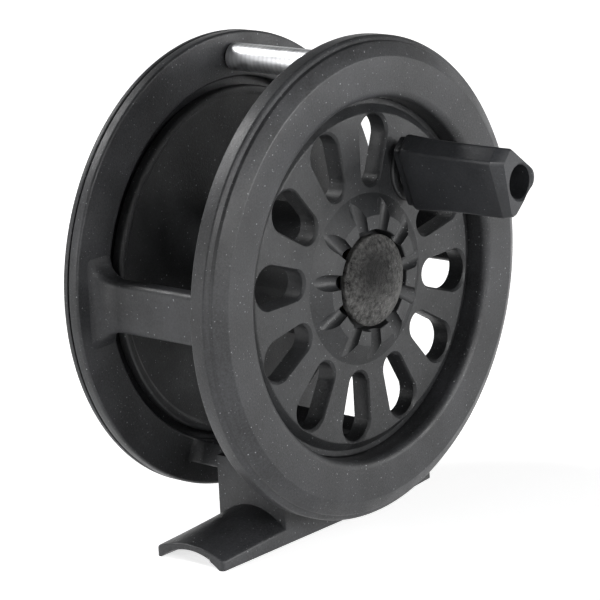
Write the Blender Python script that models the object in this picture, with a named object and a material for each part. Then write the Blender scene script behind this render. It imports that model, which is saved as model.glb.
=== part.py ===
# Fly reel: a moulded cage frame with its foot, a caged spool with a freely turning handle,
# a push button release and a click check. Metres, +Z up, spool axis along Y, handle towards -Y.

from math import acos, asin, atan2, cos, hypot, pi, radians, sin, sqrt

import bmesh
import bpy

for old in list(bpy.data.objects):
    bpy.data.objects.remove(old, do_unlink=True)

# Driving dimensions
# Y counts from the rear face of the front ring, X and Z from the spool axis.
# Each ratio is a part of the front ring's radius, or of the spool's radius where it says so.
RING_RADIUS = 0.0400
RING_OPENING_RATIO = 0.7475
RING_DEPTH = 0.0050
CAGE_LENGTH = 0.0255
BACK_RADIUS_RATIO = 0.9675
BACK_OPENING_RATIO = 0.775
BACK_DEPTH = 0.0019
COVER_THICKNESS = 0.0010
SEAT_GAP = 0.0003
RIM_GAP = 0.0003
RUNNING_GAP = 0.0004
OVERRUN = 0.0020
WELD = 0.000002

# Facets of round pieces
LARGE_SEGMENTS = 72
MIDDLE_SEGMENTS = 40
SMALL_SEGMENTS = 20
CORNER_STEPS = 4
SMOOTH_ANGLE = radians(32)

# Front ring section
RING_LIP_ROUND = 0.0012
RING_SKIRT_DEPTH = 0.0010
RING_SKIRT_WIDTH = 0.0015
RING_FACE_RATIO = 0.915
RING_SHOULDER_RATIO = 0.9725
RING_SHOULDER_DEPTH = 0.0037
RING_STEP = 0.0004
RING_BAND_DEPTH = 0.0027
RING_EDGE_ROUND = 0.0003

# Pillars, bottom bridge, pedestal and foot of the frame
PILLAR_OUTSIDE_RATIO = 0.845
PILLAR_THICKNESS = 0.0034
PILLAR_EDGE_ROUND = 0.0012
PILLAR_TOP = 0.0039
PILLAR_BOTTOM = -0.0047
PILLAR_ROOT_RISE = 0.0035
PILLAR_ROOT_DROP = 0.0028
PILLAR_ROOT_SPREAD = 0.0022
PILLAR_ROOT_LENGTH = 0.0042
MOULD_JOIN = 0.0006
BRIDGE_INSIDE_RATIO = 0.78
BRIDGE_THICKNESS = 0.0040
BRIDGE_HALF_ANGLE = radians(23)
BRIDGE_STEPS = 12
PEDESTAL_HALF_LENGTH = 0.0145
FOOT_DROP = 0.0030
FOOT_FRONT = 0.0049
FOOT_WIDTH = 0.0146
FOOT_LEFT_LENGTH = 0.0302
FOOT_RIGHT_LENGTH = 0.0265
FOOT_RIGHT_TAPER = 0.0016
FOOT_RAIL_FLAT = 0.0009
FOOT_SADDLE_RADIUS = 0.0105
FOOT_ROOT_CROWN = 0.0056
FOOT_TIP_CROWN = 0.0032
FOOT_ROOT_EDGE = 0.0025
FOOT_TIP_EDGE = 0.0017
FOOT_CORNER = 0.0006
FOOT_ARC_STEPS = 10

# Line guard post and its screw
POST_RADIUS = 0.00235
POST_CIRCLE_RATIO = 0.865
POST_ANGLE = radians(87.7)
POST_CHAMFER = 0.0004
POST_SPIGOT_RADIUS = 0.0015
POST_SPIGOT_LENGTH = 0.0024
POST_THREAD_DEPTH = 0.0070

# Screws through the back cover
SCREW_RADIUS = 0.0007
SCREW_LENGTH = 0.0070
SCREW_HEAD_RADIUS = 0.0014
SCREW_HEAD_HEIGHT = 0.0009
SCREW_HEAD_CHAMFER = 0.0002
SLOT_WIDTH = 0.0004
SLOT_DEPTH = 0.0004
PILLAR_SCREW_INSET = 0.0014
BRIDGE_SCREW_ANGLE = radians(17)

# Back cover and its click housing
COVER_EDGE_ROUND = 0.0004
HOUSING_LEAF_ROOM = 0.0019
HOUSING_WALL = 0.0016
HOUSING_RISE = 0.0031
HOUSING_FLOOR = 0.0014
HOUSING_ROUND = 0.0010
COVER_BOSS_RADIUS = 0.0070
COVER_BOSS_HEIGHT = 0.0012

# Spool
SPOOL_RIM_FRONT = 0.0010
SPOOL_FACE_FRONT = 0.0024
SPOOL_FACE_BACK = 0.0010
SPOOL_COVE_INSIDE_RATIO = 0.921
SPOOL_COVE_OUTSIDE_RATIO = 0.968
SPOOL_RIM_ROUND = 0.0003
ARBOR_RADIUS = 0.0108
ARBOR_RIB_HEIGHT = 0.0013
ARBOR_RIB_WIDTH = 0.0010
ARBOR_RIB_LENGTH = 0.0042
ARBOR_RIBS = 12
FLANGE_INSET = 0.0005
FLANGE_THICKNESS = 0.0018
FLANGE_ROUND = 0.0006
HUB_BORE = 0.0049

# Windows of the spool face; their ratios are parts of the spool's radius
WINDOW_PLACES = 12
WINDOW_FIRST_ANGLE = radians(81.04)
HANDLE_PLACE = 11
WINDOW_INNER_CENTRE_RATIO = 0.608
WINDOW_INNER_RADIUS_RATIO = 0.0845
WINDOW_OUTER_CENTRE_RATIO = 0.7975
WINDOW_OUTER_RADIUS_RATIO = 0.118
WINDOW_ARC_STEPS = 6

# Grip hub round the button
HUB_FOOT_RADIUS = 0.0148
HUB_RADIUS = 0.0137
HUB_CREST_RADIUS = 0.0108
HUB_FRONT = 0.0044
HUB_SKIRT_FRONT = 0.0026
HUB_WELL_RADIUS = 0.0080
HUB_WELL_FLOOR = 0.0010
HUB_NOTCHES = 11
HUB_FIRST_NOTCH = radians(72)
HUB_NOTCH_INNER_RADIUS = 0.0011
HUB_NOTCH_OUTER_RADIUS = 0.0020
HUB_NOTCH_AXIS = 0.0043
HUB_NOTCH_STEPS = 12

# Spindle, its screw and the bushes
SPINDLE_RADIUS = 0.0030
NOSE_RADIUS = 0.0024
NOSE_LENGTH = 0.0008
NOSE_CHAMFER = 0.0003
THRUST_RADIUS = 0.0044
SPINDLE_FLANGE_RADIUS = 0.0060
SPINDLE_FLANGE_THICKNESS = 0.0010
SPINDLE_SCREW_RADIUS = 0.0015
SPINDLE_SCREW_GRIP = 0.0070
SPINDLE_HEAD_RADIUS = 0.0030
SPINDLE_HEAD_HEIGHT = 0.0012
BUSH_LENGTH = 0.0070
BUSH_COLLAR_RADIUS = 0.0058
BUSH_COLLAR_THICKNESS = 0.0005

# Latch, release button and their springs
LATCH_TRAVEL = 0.0009
LATCH_THICKNESS = 0.0008
LATCH_LEFT = 0.0052
LATCH_RIGHT = 0.0067
LATCH_HALF_WIDTH = 0.0034
LATCH_CORNER = 0.0012
LATCH_CLEARANCE = 0.00025
BUTTON_RADIUS = 0.0076
BUTTON_RIM_FRONT = 0.0044
BUTTON_CROWN_FRONT = 0.0061
BUTTON_EDGE_ROUND = 0.0003
BUTTON_CAVITY_RADIUS = 0.0052
BUTTON_CAVITY_FRONT = 0.0046
BUTTON_DOME_STEPS = 7
FINGER_WIDTH = 0.0024
FINGER_OUTSIDE = 0.0073
BUTTON_SPRING_WIRE = 0.0002
BUTTON_SPRING_OUTSIDE = 0.0048
BUTTON_SPRING_RADIAL_PITCH = 0.00085
BUTTON_SPRING_RISE = 0.0006
BUTTON_SPRING_COILS = 2
SPRING_POINTS_PER_COIL = 10
LATCH_SPRING_THICKNESS = 0.0003
LATCH_SPRING_HALF_LENGTH = 0.0037

# Click gear, pawl and pawl spring
GEAR_RADIUS = 0.0145
GEAR_TOOTH_DEPTH = 0.0011
GEAR_TEETH = 24
GEAR_FLAT_STEPS = 1
GEAR_TOOTH_CREST = 0.0006
GEAR_ROOT_FLAT = 0.0010
GEAR_BORE = 0.0068
GEAR_THICKNESS = 0.0010
FLANGE_SCREWS = 3
FLANGE_SCREW_CIRCLE = 0.0092
FLANGE_SCREW_LENGTH = 0.0070
PAWL_REACH = 0.0041
PAWL_ANGLE = radians(90)
PAWL_ENGAGEMENT = 0.0003
PAWL_HALF_WIDTH = 0.0019
PAWL_SHOULDER = 0.0006
PAWL_BACK = 0.0019
PAWL_BACK_RADIUS = 0.00215
PAWL_TIP_RADIUS = 0.00025
PAWL_PIN_RADIUS = 0.0008
PAWL_BOSS_RADIUS = 0.0020
PAWL_PIN_SOCKET = 0.0009
LEAF_THICKNESS = 0.0003
LEAF_HALF_LENGTH = 0.0054
LEAF_PEG_RADIUS = 0.0007
LEAF_PEG_PLACE = 0.0044

# Handle
HANDLE_CIRCLE_RATIO = 0.696
HANDLE_BOSS_RADIUS = 0.0054
HANDLE_BOSS_FRONT = 0.0030
HANDLE_WASHER_RADIUS = 0.0040
HANDLE_WASHER_THICKNESS = 0.0004
HANDLE_END = 0.0250
HANDLE_PIN_RADIUS = 0.0017
HANDLE_PIN_HEAD_RADIUS = 0.0024
HANDLE_PIN_HEAD_HEIGHT = 0.0016
HANDLE_PIN_GRIP = 0.0026
HANDLE_BORE_RADIUS = 0.0028
HANDLE_BORE_DEPTH = 0.0120
GRIP_RIDGE_X = -0.0034
GRIP_RIDGE_Z = 0.0039
GRIP_RIDGE_RADIUS = 0.0019
GRIP_NOSE_X = 0.0023
GRIP_NOSE_Z = 0.0002
GRIP_NOSE_RADIUS = 0.0022
GRIP_KEEL_X = -0.0020
GRIP_KEEL_Z = -0.0041
GRIP_KEEL_RADIUS = 0.00125
GRIP_ARC_STEPS = 6
GRIP_END_BEVEL = 0.0020
GRIP_END_INSET = 0.0006
GRIP_RIDGE_CUT = 0.0014
GRIP_COLLAR_LENGTH = 0.0012
GRIP_FLARE_LENGTH = 0.0045
GRIP_FLARE = 0.0008
GRIP_COLLAR_INSET = 0.0003
GRIP_CHAMFER = 0.0006

# Places worked out from the sizes above
RING_OPENING = RING_RADIUS * RING_OPENING_RATIO
RING_FACE_RADIUS = RING_RADIUS * RING_FACE_RATIO
RING_SHOULDER_RADIUS = RING_RADIUS * RING_SHOULDER_RATIO
BACK_RADIUS = RING_RADIUS * BACK_RADIUS_RATIO
BACK_OPENING = RING_RADIUS * BACK_OPENING_RATIO
PILLAR_OUTSIDE = RING_RADIUS * PILLAR_OUTSIDE_RATIO
BRIDGE_INSIDE = RING_RADIUS * BRIDGE_INSIDE_RATIO
POST_CIRCLE = RING_RADIUS * POST_CIRCLE_RATIO
FOOT_BOTTOM = RING_RADIUS + FOOT_DROP
BACK_REAR = CAGE_LENGTH + BACK_DEPTH
COVER_FRONT = BACK_REAR + SEAT_GAP
COVER_REAR = COVER_FRONT + COVER_THICKNESS
HOUSING_REAR = COVER_REAR + HOUSING_RISE
HOUSING_FLOOR_FRONT = HOUSING_REAR - HOUSING_FLOOR
PAWL_PIVOT = GEAR_RADIUS + PAWL_REACH
LEAF_INNER = PAWL_PIVOT + PAWL_BACK + SEAT_GAP
LEAF_OUTER = LEAF_INNER + LEAF_THICKNESS
HOUSING_INSIDE = LEAF_OUTER + HOUSING_LEAF_ROOM
HOUSING_RADIUS = HOUSING_INSIDE + HOUSING_WALL
BOSS_FRONT = HOUSING_FLOOR_FRONT - COVER_BOSS_HEIGHT
SPOOL_RADIUS = RING_OPENING - RIM_GAP
SPOOL_COVE_INSIDE = SPOOL_RADIUS * SPOOL_COVE_INSIDE_RATIO
SPOOL_COVE_OUTSIDE = SPOOL_RADIUS * SPOOL_COVE_OUTSIDE_RATIO
WINDOW_INNER_CENTRE = SPOOL_RADIUS * WINDOW_INNER_CENTRE_RATIO
WINDOW_INNER_RADIUS = SPOOL_RADIUS * WINDOW_INNER_RADIUS_RATIO
WINDOW_OUTER_CENTRE = SPOOL_RADIUS * WINDOW_OUTER_CENTRE_RATIO
WINDOW_OUTER_RADIUS = SPOOL_RADIUS * WINDOW_OUTER_RADIUS_RATIO
HANDLE_CIRCLE = SPOOL_RADIUS * HANDLE_CIRCLE_RATIO
FLANGE_FRONT = CAGE_LENGTH - FLANGE_INSET
ARBOR_REAR = FLANGE_FRONT - SEAT_GAP
FLANGE_REAR = FLANGE_FRONT + FLANGE_THICKNESS
GEAR_FRONT = FLANGE_REAR + SEAT_GAP
GEAR_REAR = GEAR_FRONT + GEAR_THICKNESS
SPINDLE_REAR = BOSS_FRONT - SEAT_GAP
HANDLE_ANGLE = WINDOW_FIRST_ANGLE + HANDLE_PLACE * 2 * pi / WINDOW_PLACES
SCREW_HOLE_RADIUS = SCREW_RADIUS + SEAT_GAP
BRIDGE_MIDDLE = BRIDGE_INSIDE + BRIDGE_THICKNESS / 2
LATCH_REAR = -HUB_WELL_FLOOR - SEAT_GAP
LATCH_FRONT = LATCH_REAR - LATCH_THICKNESS
LATCH_HOLE_RADIUS = NOSE_RADIUS + LATCH_CLEARANCE
NECK_RADIUS = LATCH_HOLE_RADIUS - LATCH_TRAVEL - LATCH_CLEARANCE
NOSE_REAR = LATCH_FRONT - SEAT_GAP
BUTTON_REAR = LATCH_FRONT - SEAT_GAP - LATCH_TRAVEL
GRIP_REAR = -HANDLE_BOSS_FRONT - 2 * SEAT_GAP - HANDLE_WASHER_THICKNESS
MIDDLE_Y = (HOUSING_REAR - HANDLE_END) / 2

# Finishes: colour, roughness, metallic
BLACK_PLASTIC = ((0.055, 0.057, 0.060), 0.45, 0)
BUTTON_PLASTIC = ((0.040, 0.040, 0.042), 0.60, 0)
GRIP_PLASTIC = ((0.035, 0.036, 0.040), 0.35, 0)
WHITE_ACETAL = ((0.75, 0.74, 0.70), 0.50, 0)
TURNED_STEEL = ((0.80, 0.80, 0.82), 0.25, 1)
SPRING_STEEL = ((0.45, 0.45, 0.47), 0.30, 1)
BRONZE = ((0.55, 0.36, 0.16), 0.35, 1)


def joint_empty(name, parent, x, y, z):
    empty = bpy.data.objects.new(name, None)
    empty.parent = parent
    empty.location = (x, y, z)
    bpy.context.scene.collection.objects.link(empty)
    return empty


# The origin lies on the standing surface, under the middle of the whole reel.
spool_axis = joint_empty("spool_axis", None, 0, -MIDDLE_Y, FOOT_BOTTOM)
handle_axis = joint_empty(
    "handle_axis", spool_axis, HANDLE_CIRCLE * cos(HANDLE_ANGLE), 0, HANDLE_CIRCLE * sin(HANDLE_ANGLE)
)
pawl_axis = joint_empty("pawl_axis", spool_axis, PAWL_PIVOT * cos(PAWL_ANGLE), 0, PAWL_PIVOT * sin(PAWL_ANGLE))


# Building blocks
def finish_material(name, finish):
    colour, roughness, metallic = finish
    material = bpy.data.materials.new(name)
    material.use_nodes = True
    shader = material.node_tree.nodes["Principled BSDF"]
    shader.inputs["Base Color"].default_value = (*colour, 1)
    shader.inputs["Roughness"].default_value = roughness
    shader.inputs["Metallic"].default_value = metallic
    return material


def new_object(name, make_mesh, finish, parent=spool_axis):
    """Object whose mesh is what make_mesh builds, its faces turned outwards."""
    mesh = bpy.data.meshes.new(name)
    work = bmesh.new()
    make_mesh(work)
    bmesh.ops.remove_doubles(work, verts=work.verts, dist=WELD)
    bmesh.ops.recalc_face_normals(work, faces=work.faces)
    work.to_mesh(mesh)
    work.free()
    if finish:
        mesh.materials.append(finish_material(name, finish))
    mesh.shade_smooth()
    mesh.set_sharp_from_angle(angle=SMOOTH_ANGLE)
    made = bpy.data.objects.new(name, mesh)
    made.parent = parent
    bpy.context.scene.collection.objects.link(made)
    return made


def helper(name, make_mesh, parent=spool_axis):
    """Hidden shape that another object's Boolean uses."""
    made = new_object(name, make_mesh, None, parent)
    made.hide_render = True
    made.display_type = "WIRE"
    return made


def combine(target, other, operation):
    step = target.modifiers.new(f"{operation.lower()}_{other.name}", "BOOLEAN")
    step.operation = operation
    step.solver = "EXACT"
    step.object = other


def cut(target, other):
    combine(target, other, "DIFFERENCE")


def add(target, other):
    combine(target, other, "UNION")


def turned(profile, segments):
    """Closed (radius, y) outline spun a full turn round the Y axis."""

    def make_mesh(work):
        corners = [work.verts.new((radius, y, 0)) for radius, y in profile]
        edges = []
        for near, far in zip(corners, corners[1:] + corners[:1]):
            if near.co.x > 0 or far.co.x > 0:
                edges.append(work.edges.new((near, far)))
        bmesh.ops.spin(
            work,
            geom=corners + edges,
            cent=(0, 0, 0),
            axis=(0, 1, 0),
            angle=2 * pi,
            steps=segments,
            use_merge=True,
        )

    return make_mesh


def lofted(sections):
    """Closed solid through loops of (x, y, z) points, one loop after the other."""

    def make_mesh(work):
        loops = [[work.verts.new(point) for point in section] for section in sections]
        for near, far in zip(loops, loops[1:]):
            for i in range(len(near)):
                following = (i + 1) % len(near)
                work.faces.new((near[i], near[following], far[following], far[i]))
        work.faces.new(loops[0])
        work.faces.new(loops[-1][::-1])

    return make_mesh


def extruded(outline, front, back):
    """Closed (x, z) outline extruded along Y from front to back."""
    return lofted([[(x, front, z) for x, z in outline], [(x, back, z) for x, z in outline]])


def arc(centre_x, centre_z, radius, start, end, steps):
    """Points along an arc, both ends included."""
    angles = [start + (end - start) * i / steps for i in range(steps + 1)]
    return [(centre_x + radius * cos(angle), centre_z + radius * sin(angle)) for angle in angles]


def tangent_hull(circles, steps):
    """Outline round (x, z, radius) circles listed counter-clockwise, with straight sides between them."""
    normals = []
    for (x1, z1, radius1), (x2, z2, radius2) in zip(circles, circles[1:] + circles[:1]):
        along = atan2(z2 - z1, x2 - x1)
        normals.append(along - pi / 2 + asin((radius1 - radius2) / hypot(x2 - x1, z2 - z1)))
    outline = []
    for i, (x, z, radius) in enumerate(circles):
        turn = (normals[i] - normals[i - 1]) % (2 * pi)
        outline += arc(x, z, radius, normals[i - 1], normals[i - 1] + turn, steps)
    return outline


def rounded_rectangle(left, right, bottom, top, corner):
    """Rectangle whose four corners are rounded."""
    circles = [
        (right - corner, bottom + corner, corner),
        (right - corner, top - corner, corner),
        (left + corner, top - corner, corner),
        (left + corner, bottom + corner, corner),
    ]
    return tangent_hull(circles, CORNER_STEPS)


def rod(radius, front, back):
    """Plain round bar outline for turned()."""
    return [(0, front), (radius, front), (radius, back), (0, back)]


def quarter(centre_radius, centre_y, radius, start):
    """Quarter of a circle in (radius, y) from the start angle, turning counter-clockwise."""
    return arc(centre_radius, centre_y, radius, start, start + pi / 2, CORNER_STEPS)


def round_hole(target, name, x, z, radius, front, back):
    """Round hole along Y with its axis at x, z."""
    form = helper(name, turned(rod(radius, front, back), SMALL_SEGMENTS))
    form.location = (x, 0, z)
    cut(target, form)


def slotted_screw(name, x, z, under_head, length, radius, head_radius, head_height):
    """Screw along Y with its head to the rear; under_head is where the head rests."""
    tip = under_head - length
    top = under_head + head_height
    profile = [
        (0, tip),
        (radius - SCREW_HEAD_CHAMFER, tip),
        (radius, tip + SCREW_HEAD_CHAMFER),
        (radius, under_head),
        (head_radius, under_head),
        (head_radius, top - SCREW_HEAD_CHAMFER),
        (head_radius - SCREW_HEAD_CHAMFER, top),
        (0, top),
    ]
    screw = new_object(name, turned(profile, SMALL_SEGMENTS), TURNED_STEEL)
    screw.location = (x, 0, z)
    reach = head_radius + OVERRUN
    half = SLOT_WIDTH / 2
    slot_outline = [(-reach, -half), (reach, -half), (reach, half), (-reach, half)]
    slot = helper(f"{name}_slot", extruded(slot_outline, top - SLOT_DEPTH, top + OVERRUN))
    slot.location = (x, 0, z)
    cut(screw, slot)


# Frame: one moulding with both rings, the side pillars, the bottom bridge, the pedestal and the foot
def front_ring_profile():
    lip = quarter(RING_OPENING + RING_LIP_ROUND, RING_LIP_ROUND - RING_DEPTH, RING_LIP_ROUND, pi)
    outside = [
        (RING_FACE_RADIUS, -RING_DEPTH),
        (RING_SHOULDER_RADIUS, -RING_SHOULDER_DEPTH),
        (RING_SHOULDER_RADIUS + RING_STEP, RING_STEP - RING_SHOULDER_DEPTH),
        (RING_RADIUS - RING_EDGE_ROUND, -RING_BAND_DEPTH - RING_EDGE_ROUND),
        (RING_RADIUS, -RING_BAND_DEPTH),
        (RING_RADIUS, -RING_EDGE_ROUND),
        (RING_RADIUS - RING_EDGE_ROUND, 0),
    ]
    skirt = [
        (RING_OPENING + RING_SKIRT_WIDTH, 0),
        (RING_OPENING + RING_SKIRT_WIDTH, RING_SKIRT_DEPTH),
        (RING_OPENING, RING_SKIRT_DEPTH),
    ]
    return lip + outside + skirt


def back_ring_profile():
    return [
        (BACK_OPENING, CAGE_LENGTH + RING_EDGE_ROUND),
        (BACK_OPENING + RING_EDGE_ROUND, CAGE_LENGTH),
        (BACK_RADIUS - RING_EDGE_ROUND, CAGE_LENGTH),
        (BACK_RADIUS, CAGE_LENGTH + RING_EDGE_ROUND),
        (BACK_RADIUS, BACK_REAR),
        (BACK_OPENING, BACK_REAR),
    ]


def pillar_section(side, y, flare):
    """Rounded section of a pillar at y, spread by its part of the root's flare."""
    outside = PILLAR_OUTSIDE + PILLAR_ROOT_SPREAD * flare
    reach = sorted((side * (PILLAR_OUTSIDE - PILLAR_THICKNESS), side * outside))
    bottom = PILLAR_BOTTOM - PILLAR_ROOT_DROP * flare
    top = PILLAR_TOP + PILLAR_ROOT_RISE * flare
    return [(x, y, z) for x, z in rounded_rectangle(*reach, bottom, top, PILLAR_EDGE_ROUND)]


def pillar_form(side):
    """Bar on the left for side -1 and on the right for side 1, which flares into the back ring."""
    sections = [pillar_section(side, -MOULD_JOIN, 0)]
    for i in range(CORNER_STEPS + 1):
        turn = pi / 2 * i / CORNER_STEPS
        y = CAGE_LENGTH - PILLAR_ROOT_LENGTH * (1 - sin(turn))
        sections.append(pillar_section(side, y, 1 - cos(turn)))
    sections.append(pillar_section(side, CAGE_LENGTH + MOULD_JOIN, 1))
    return lofted(sections)


def bridge_form():
    start = -pi / 2 - BRIDGE_HALF_ANGLE
    end = -pi / 2 + BRIDGE_HALF_ANGLE
    outer = arc(0, 0, BRIDGE_INSIDE + BRIDGE_THICKNESS, start, end, BRIDGE_STEPS)
    inner = arc(0, 0, BRIDGE_INSIDE, end, start, BRIDGE_STEPS)
    return extruded(outer + inner, -MOULD_JOIN, CAGE_LENGTH + MOULD_JOIN)


def foot_section(x, crown, edge, trim):
    """Section of the foot at x, drawn in by trim at both sides: flat rails, hollow saddle and arched top."""
    centre = FOOT_FRONT + FOOT_WIDTH / 2
    half = FOOT_WIDTH / 2 - trim
    saddle = asin((half - FOOT_RAIL_FLAT) / FOOT_SADDLE_RADIUS)
    saddle_centre = -FOOT_BOTTOM - FOOT_SADDLE_RADIUS * cos(saddle)
    rise = crown - edge
    top_radius = (half**2 + rise**2) / (2 * rise)
    top_centre = crown - FOOT_BOTTOM - top_radius
    top = asin(half / top_radius)
    below = arc(centre, saddle_centre, FOOT_SADDLE_RADIUS, pi / 2 + saddle, pi / 2 - saddle, FOOT_ARC_STEPS)
    above = arc(centre, top_centre, top_radius, pi / 2 - top, pi / 2 + top, FOOT_ARC_STEPS)
    outline = [(centre - half, -FOOT_BOTTOM)] + below + [(centre + half, -FOOT_BOTTOM)] + above
    return [(x, y, z) for y, z in outline]


def foot_tip_sections(side, length, taper):
    """Sections from the pedestal's end out to a thin tip with rounded corners."""
    sections = [foot_section(side * PEDESTAL_HALF_LENGTH, FOOT_ROOT_CROWN, FOOT_ROOT_EDGE, 0)]
    for i in range(CORNER_STEPS + 1):
        turn = pi / 2 * i / CORNER_STEPS
        x = length - FOOT_CORNER * (1 - sin(turn))
        share = (x - PEDESTAL_HALF_LENGTH) / (length - PEDESTAL_HALF_LENGTH)
        crown = FOOT_ROOT_CROWN + (FOOT_TIP_CROWN - FOOT_ROOT_CROWN) * share
        edge = FOOT_ROOT_EDGE + (FOOT_TIP_EDGE - FOOT_ROOT_EDGE) * share
        sections.append(foot_section(side * x, crown, edge, taper * share + FOOT_CORNER * (1 - cos(turn))))
    return sections


def foot_form():
    """Thin at the tips and full under the pedestal; the right end is shorter and narrower."""
    left = foot_tip_sections(-1, FOOT_LEFT_LENGTH, 0)
    return lofted(left[::-1] + foot_tip_sections(1, FOOT_RIGHT_LENGTH, FOOT_RIGHT_TAPER))


def pedestal_form():
    """Block between the bridge and the foot, which follows the bridge on top and ends inside the foot."""
    reach = acos(PEDESTAL_HALF_LENGTH / BRIDGE_MIDDLE)
    top = arc(0, 0, BRIDGE_MIDDLE, -pi + reach, -reach, BRIDGE_STEPS)
    saddle_half = FOOT_WIDTH / 2 - FOOT_RAIL_FLAT
    saddle_rise = FOOT_SADDLE_RADIUS - sqrt(FOOT_SADDLE_RADIUS**2 - saddle_half**2)
    floor = (saddle_rise + FOOT_ROOT_EDGE) / 2 - FOOT_BOTTOM
    outline = top + [(PEDESTAL_HALF_LENGTH, floor), (-PEDESTAL_HALF_LENGTH, floor)]
    return extruded(outline, FOOT_FRONT, FOOT_FRONT + FOOT_WIDTH)


def cover_screw_places():
    """(name, x, z) of each screw that holds the back cover to the frame."""
    pillar_x = PILLAR_OUTSIDE - PILLAR_SCREW_INSET
    pillar_z = (PILLAR_TOP + PILLAR_BOTTOM) / 2
    bridge_x = BRIDGE_MIDDLE * sin(BRIDGE_SCREW_ANGLE)
    bridge_z = -BRIDGE_MIDDLE * cos(BRIDGE_SCREW_ANGLE)
    return [
        ("cover_screw_left", -pillar_x, pillar_z),
        ("cover_screw_right", pillar_x, pillar_z),
        ("cover_screw_bottom_left", -bridge_x, bridge_z),
        ("cover_screw_bottom_right", bridge_x, bridge_z),
    ]


post_x = POST_CIRCLE * cos(POST_ANGLE)
post_z = POST_CIRCLE * sin(POST_ANGLE)
cover_screw_seat = COVER_REAR + SEAT_GAP
cover_screw_hole_end = cover_screw_seat - SCREW_LENGTH - SEAT_GAP

frame = new_object("frame", turned(front_ring_profile(), LARGE_SEGMENTS), BLACK_PLASTIC)
add(frame, helper("back_ring_form", turned(back_ring_profile(), LARGE_SEGMENTS)))
add(frame, helper("left_pillar_form", pillar_form(-1)))
add(frame, helper("right_pillar_form", pillar_form(1)))
add(frame, helper("bridge_form", bridge_form()))
add(frame, helper("foot_form", foot_form()))
add(frame, helper("pedestal_form", pedestal_form()))
post_socket_radius = POST_SPIGOT_RADIUS + SEAT_GAP
round_hole(frame, "post_socket", post_x, post_z, post_socket_radius, -POST_SPIGOT_LENGTH - SEAT_GAP, OVERRUN)
for screw_name, screw_x, screw_z in cover_screw_places() + [("post_screw", post_x, post_z)]:
    hole_name = f"{screw_name}_hole"
    round_hole(
        frame, hole_name, screw_x, screw_z, SCREW_HOLE_RADIUS, cover_screw_hole_end, BACK_REAR + OVERRUN
    )

# Line guard post: a turned steel bar across the top of the cage
post_front = SEAT_GAP
post_back = CAGE_LENGTH - SEAT_GAP
post_profile = [
    (0, -POST_SPIGOT_LENGTH),
    (POST_SPIGOT_RADIUS, -POST_SPIGOT_LENGTH),
    (POST_SPIGOT_RADIUS, post_front),
    (POST_RADIUS - POST_CHAMFER, post_front),
    (POST_RADIUS, post_front + POST_CHAMFER),
    (POST_RADIUS, post_back - POST_CHAMFER),
    (POST_RADIUS - POST_CHAMFER, post_back),
    (0, post_back),
]
line_guard_post = new_object("line_guard_post", turned(post_profile, MIDDLE_SEGMENTS), TURNED_STEEL)
line_guard_post.location = (post_x, 0, post_z)
post_thread_end = post_back - POST_THREAD_DEPTH
round_hole(
    line_guard_post, "post_thread", post_x, post_z, SCREW_HOLE_RADIUS, post_thread_end, post_back + OVERRUN
)


# Back cover: a thin disc with a shallow housing for the click parts
def back_cover_profile():
    inside = [
        (0, BOSS_FRONT),
        (COVER_BOSS_RADIUS, BOSS_FRONT),
        (COVER_BOSS_RADIUS, HOUSING_FLOOR_FRONT),
        (HOUSING_INSIDE, HOUSING_FLOOR_FRONT),
        (HOUSING_INSIDE, COVER_FRONT),
        (BACK_RADIUS, COVER_FRONT),
        (BACK_RADIUS, COVER_REAR - COVER_EDGE_ROUND),
        (BACK_RADIUS - COVER_EDGE_ROUND, COVER_REAR),
        (HOUSING_RADIUS, COVER_REAR),
    ]
    edge = quarter(HOUSING_RADIUS - HOUSING_ROUND, HOUSING_REAR - HOUSING_ROUND, HOUSING_ROUND, 0)
    return inside + edge + [(0, HOUSING_REAR)]


head_well_front = HOUSING_REAR - SPINDLE_HEAD_HEIGHT - SEAT_GAP
pawl_boss_front = GEAR_REAR + SEAT_GAP
peg_profile = rod(LEAF_PEG_RADIUS, GEAR_FRONT + SEAT_GAP, HOUSING_FLOOR_FRONT + MOULD_JOIN)

back_cover = new_object("back_cover", turned(back_cover_profile(), LARGE_SEGMENTS), BLACK_PLASTIC)
pawl_boss_profile = rod(PAWL_BOSS_RADIUS, pawl_boss_front, HOUSING_FLOOR_FRONT + MOULD_JOIN)
add(back_cover, helper("pawl_boss_form", turned(pawl_boss_profile, MIDDLE_SEGMENTS), pawl_axis))
for side_name, side in (("left", -1), ("right", 1)):
    for place_name, peg_z in (
        ("inner", LEAF_INNER - SEAT_GAP - LEAF_PEG_RADIUS),
        ("outer", LEAF_OUTER + SEAT_GAP + LEAF_PEG_RADIUS),
    ):
        peg = helper(f"leaf_peg_{side_name}_{place_name}", turned(peg_profile, SMALL_SEGMENTS))
        peg.location = (side * LEAF_PEG_PLACE, 0, peg_z)
        add(back_cover, peg)
spindle_hole_radius = SPINDLE_SCREW_RADIUS + SEAT_GAP
head_well_radius = SPINDLE_HEAD_RADIUS + SEAT_GAP
cover_beyond = HOUSING_REAR + OVERRUN
round_hole(back_cover, "spindle_screw_hole", 0, 0, spindle_hole_radius, BOSS_FRONT - OVERRUN, cover_beyond)
round_hole(back_cover, "spindle_head_well", 0, 0, head_well_radius, head_well_front, cover_beyond)
for screw_name, screw_x, screw_z in cover_screw_places() + [("post_screw", post_x, post_z)]:
    round_hole(
        back_cover,
        f"{screw_name}_clearance",
        screw_x,
        screw_z,
        SCREW_HOLE_RADIUS,
        COVER_FRONT - OVERRUN,
        COVER_REAR + OVERRUN,
    )
    slotted_screw(
        screw_name,
        screw_x,
        screw_z,
        cover_screw_seat,
        SCREW_LENGTH,
        SCREW_RADIUS,
        SCREW_HEAD_RADIUS,
        SCREW_HEAD_HEIGHT,
    )
pawl_socket_end = HOUSING_FLOOR_FRONT + PAWL_PIN_SOCKET
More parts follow.
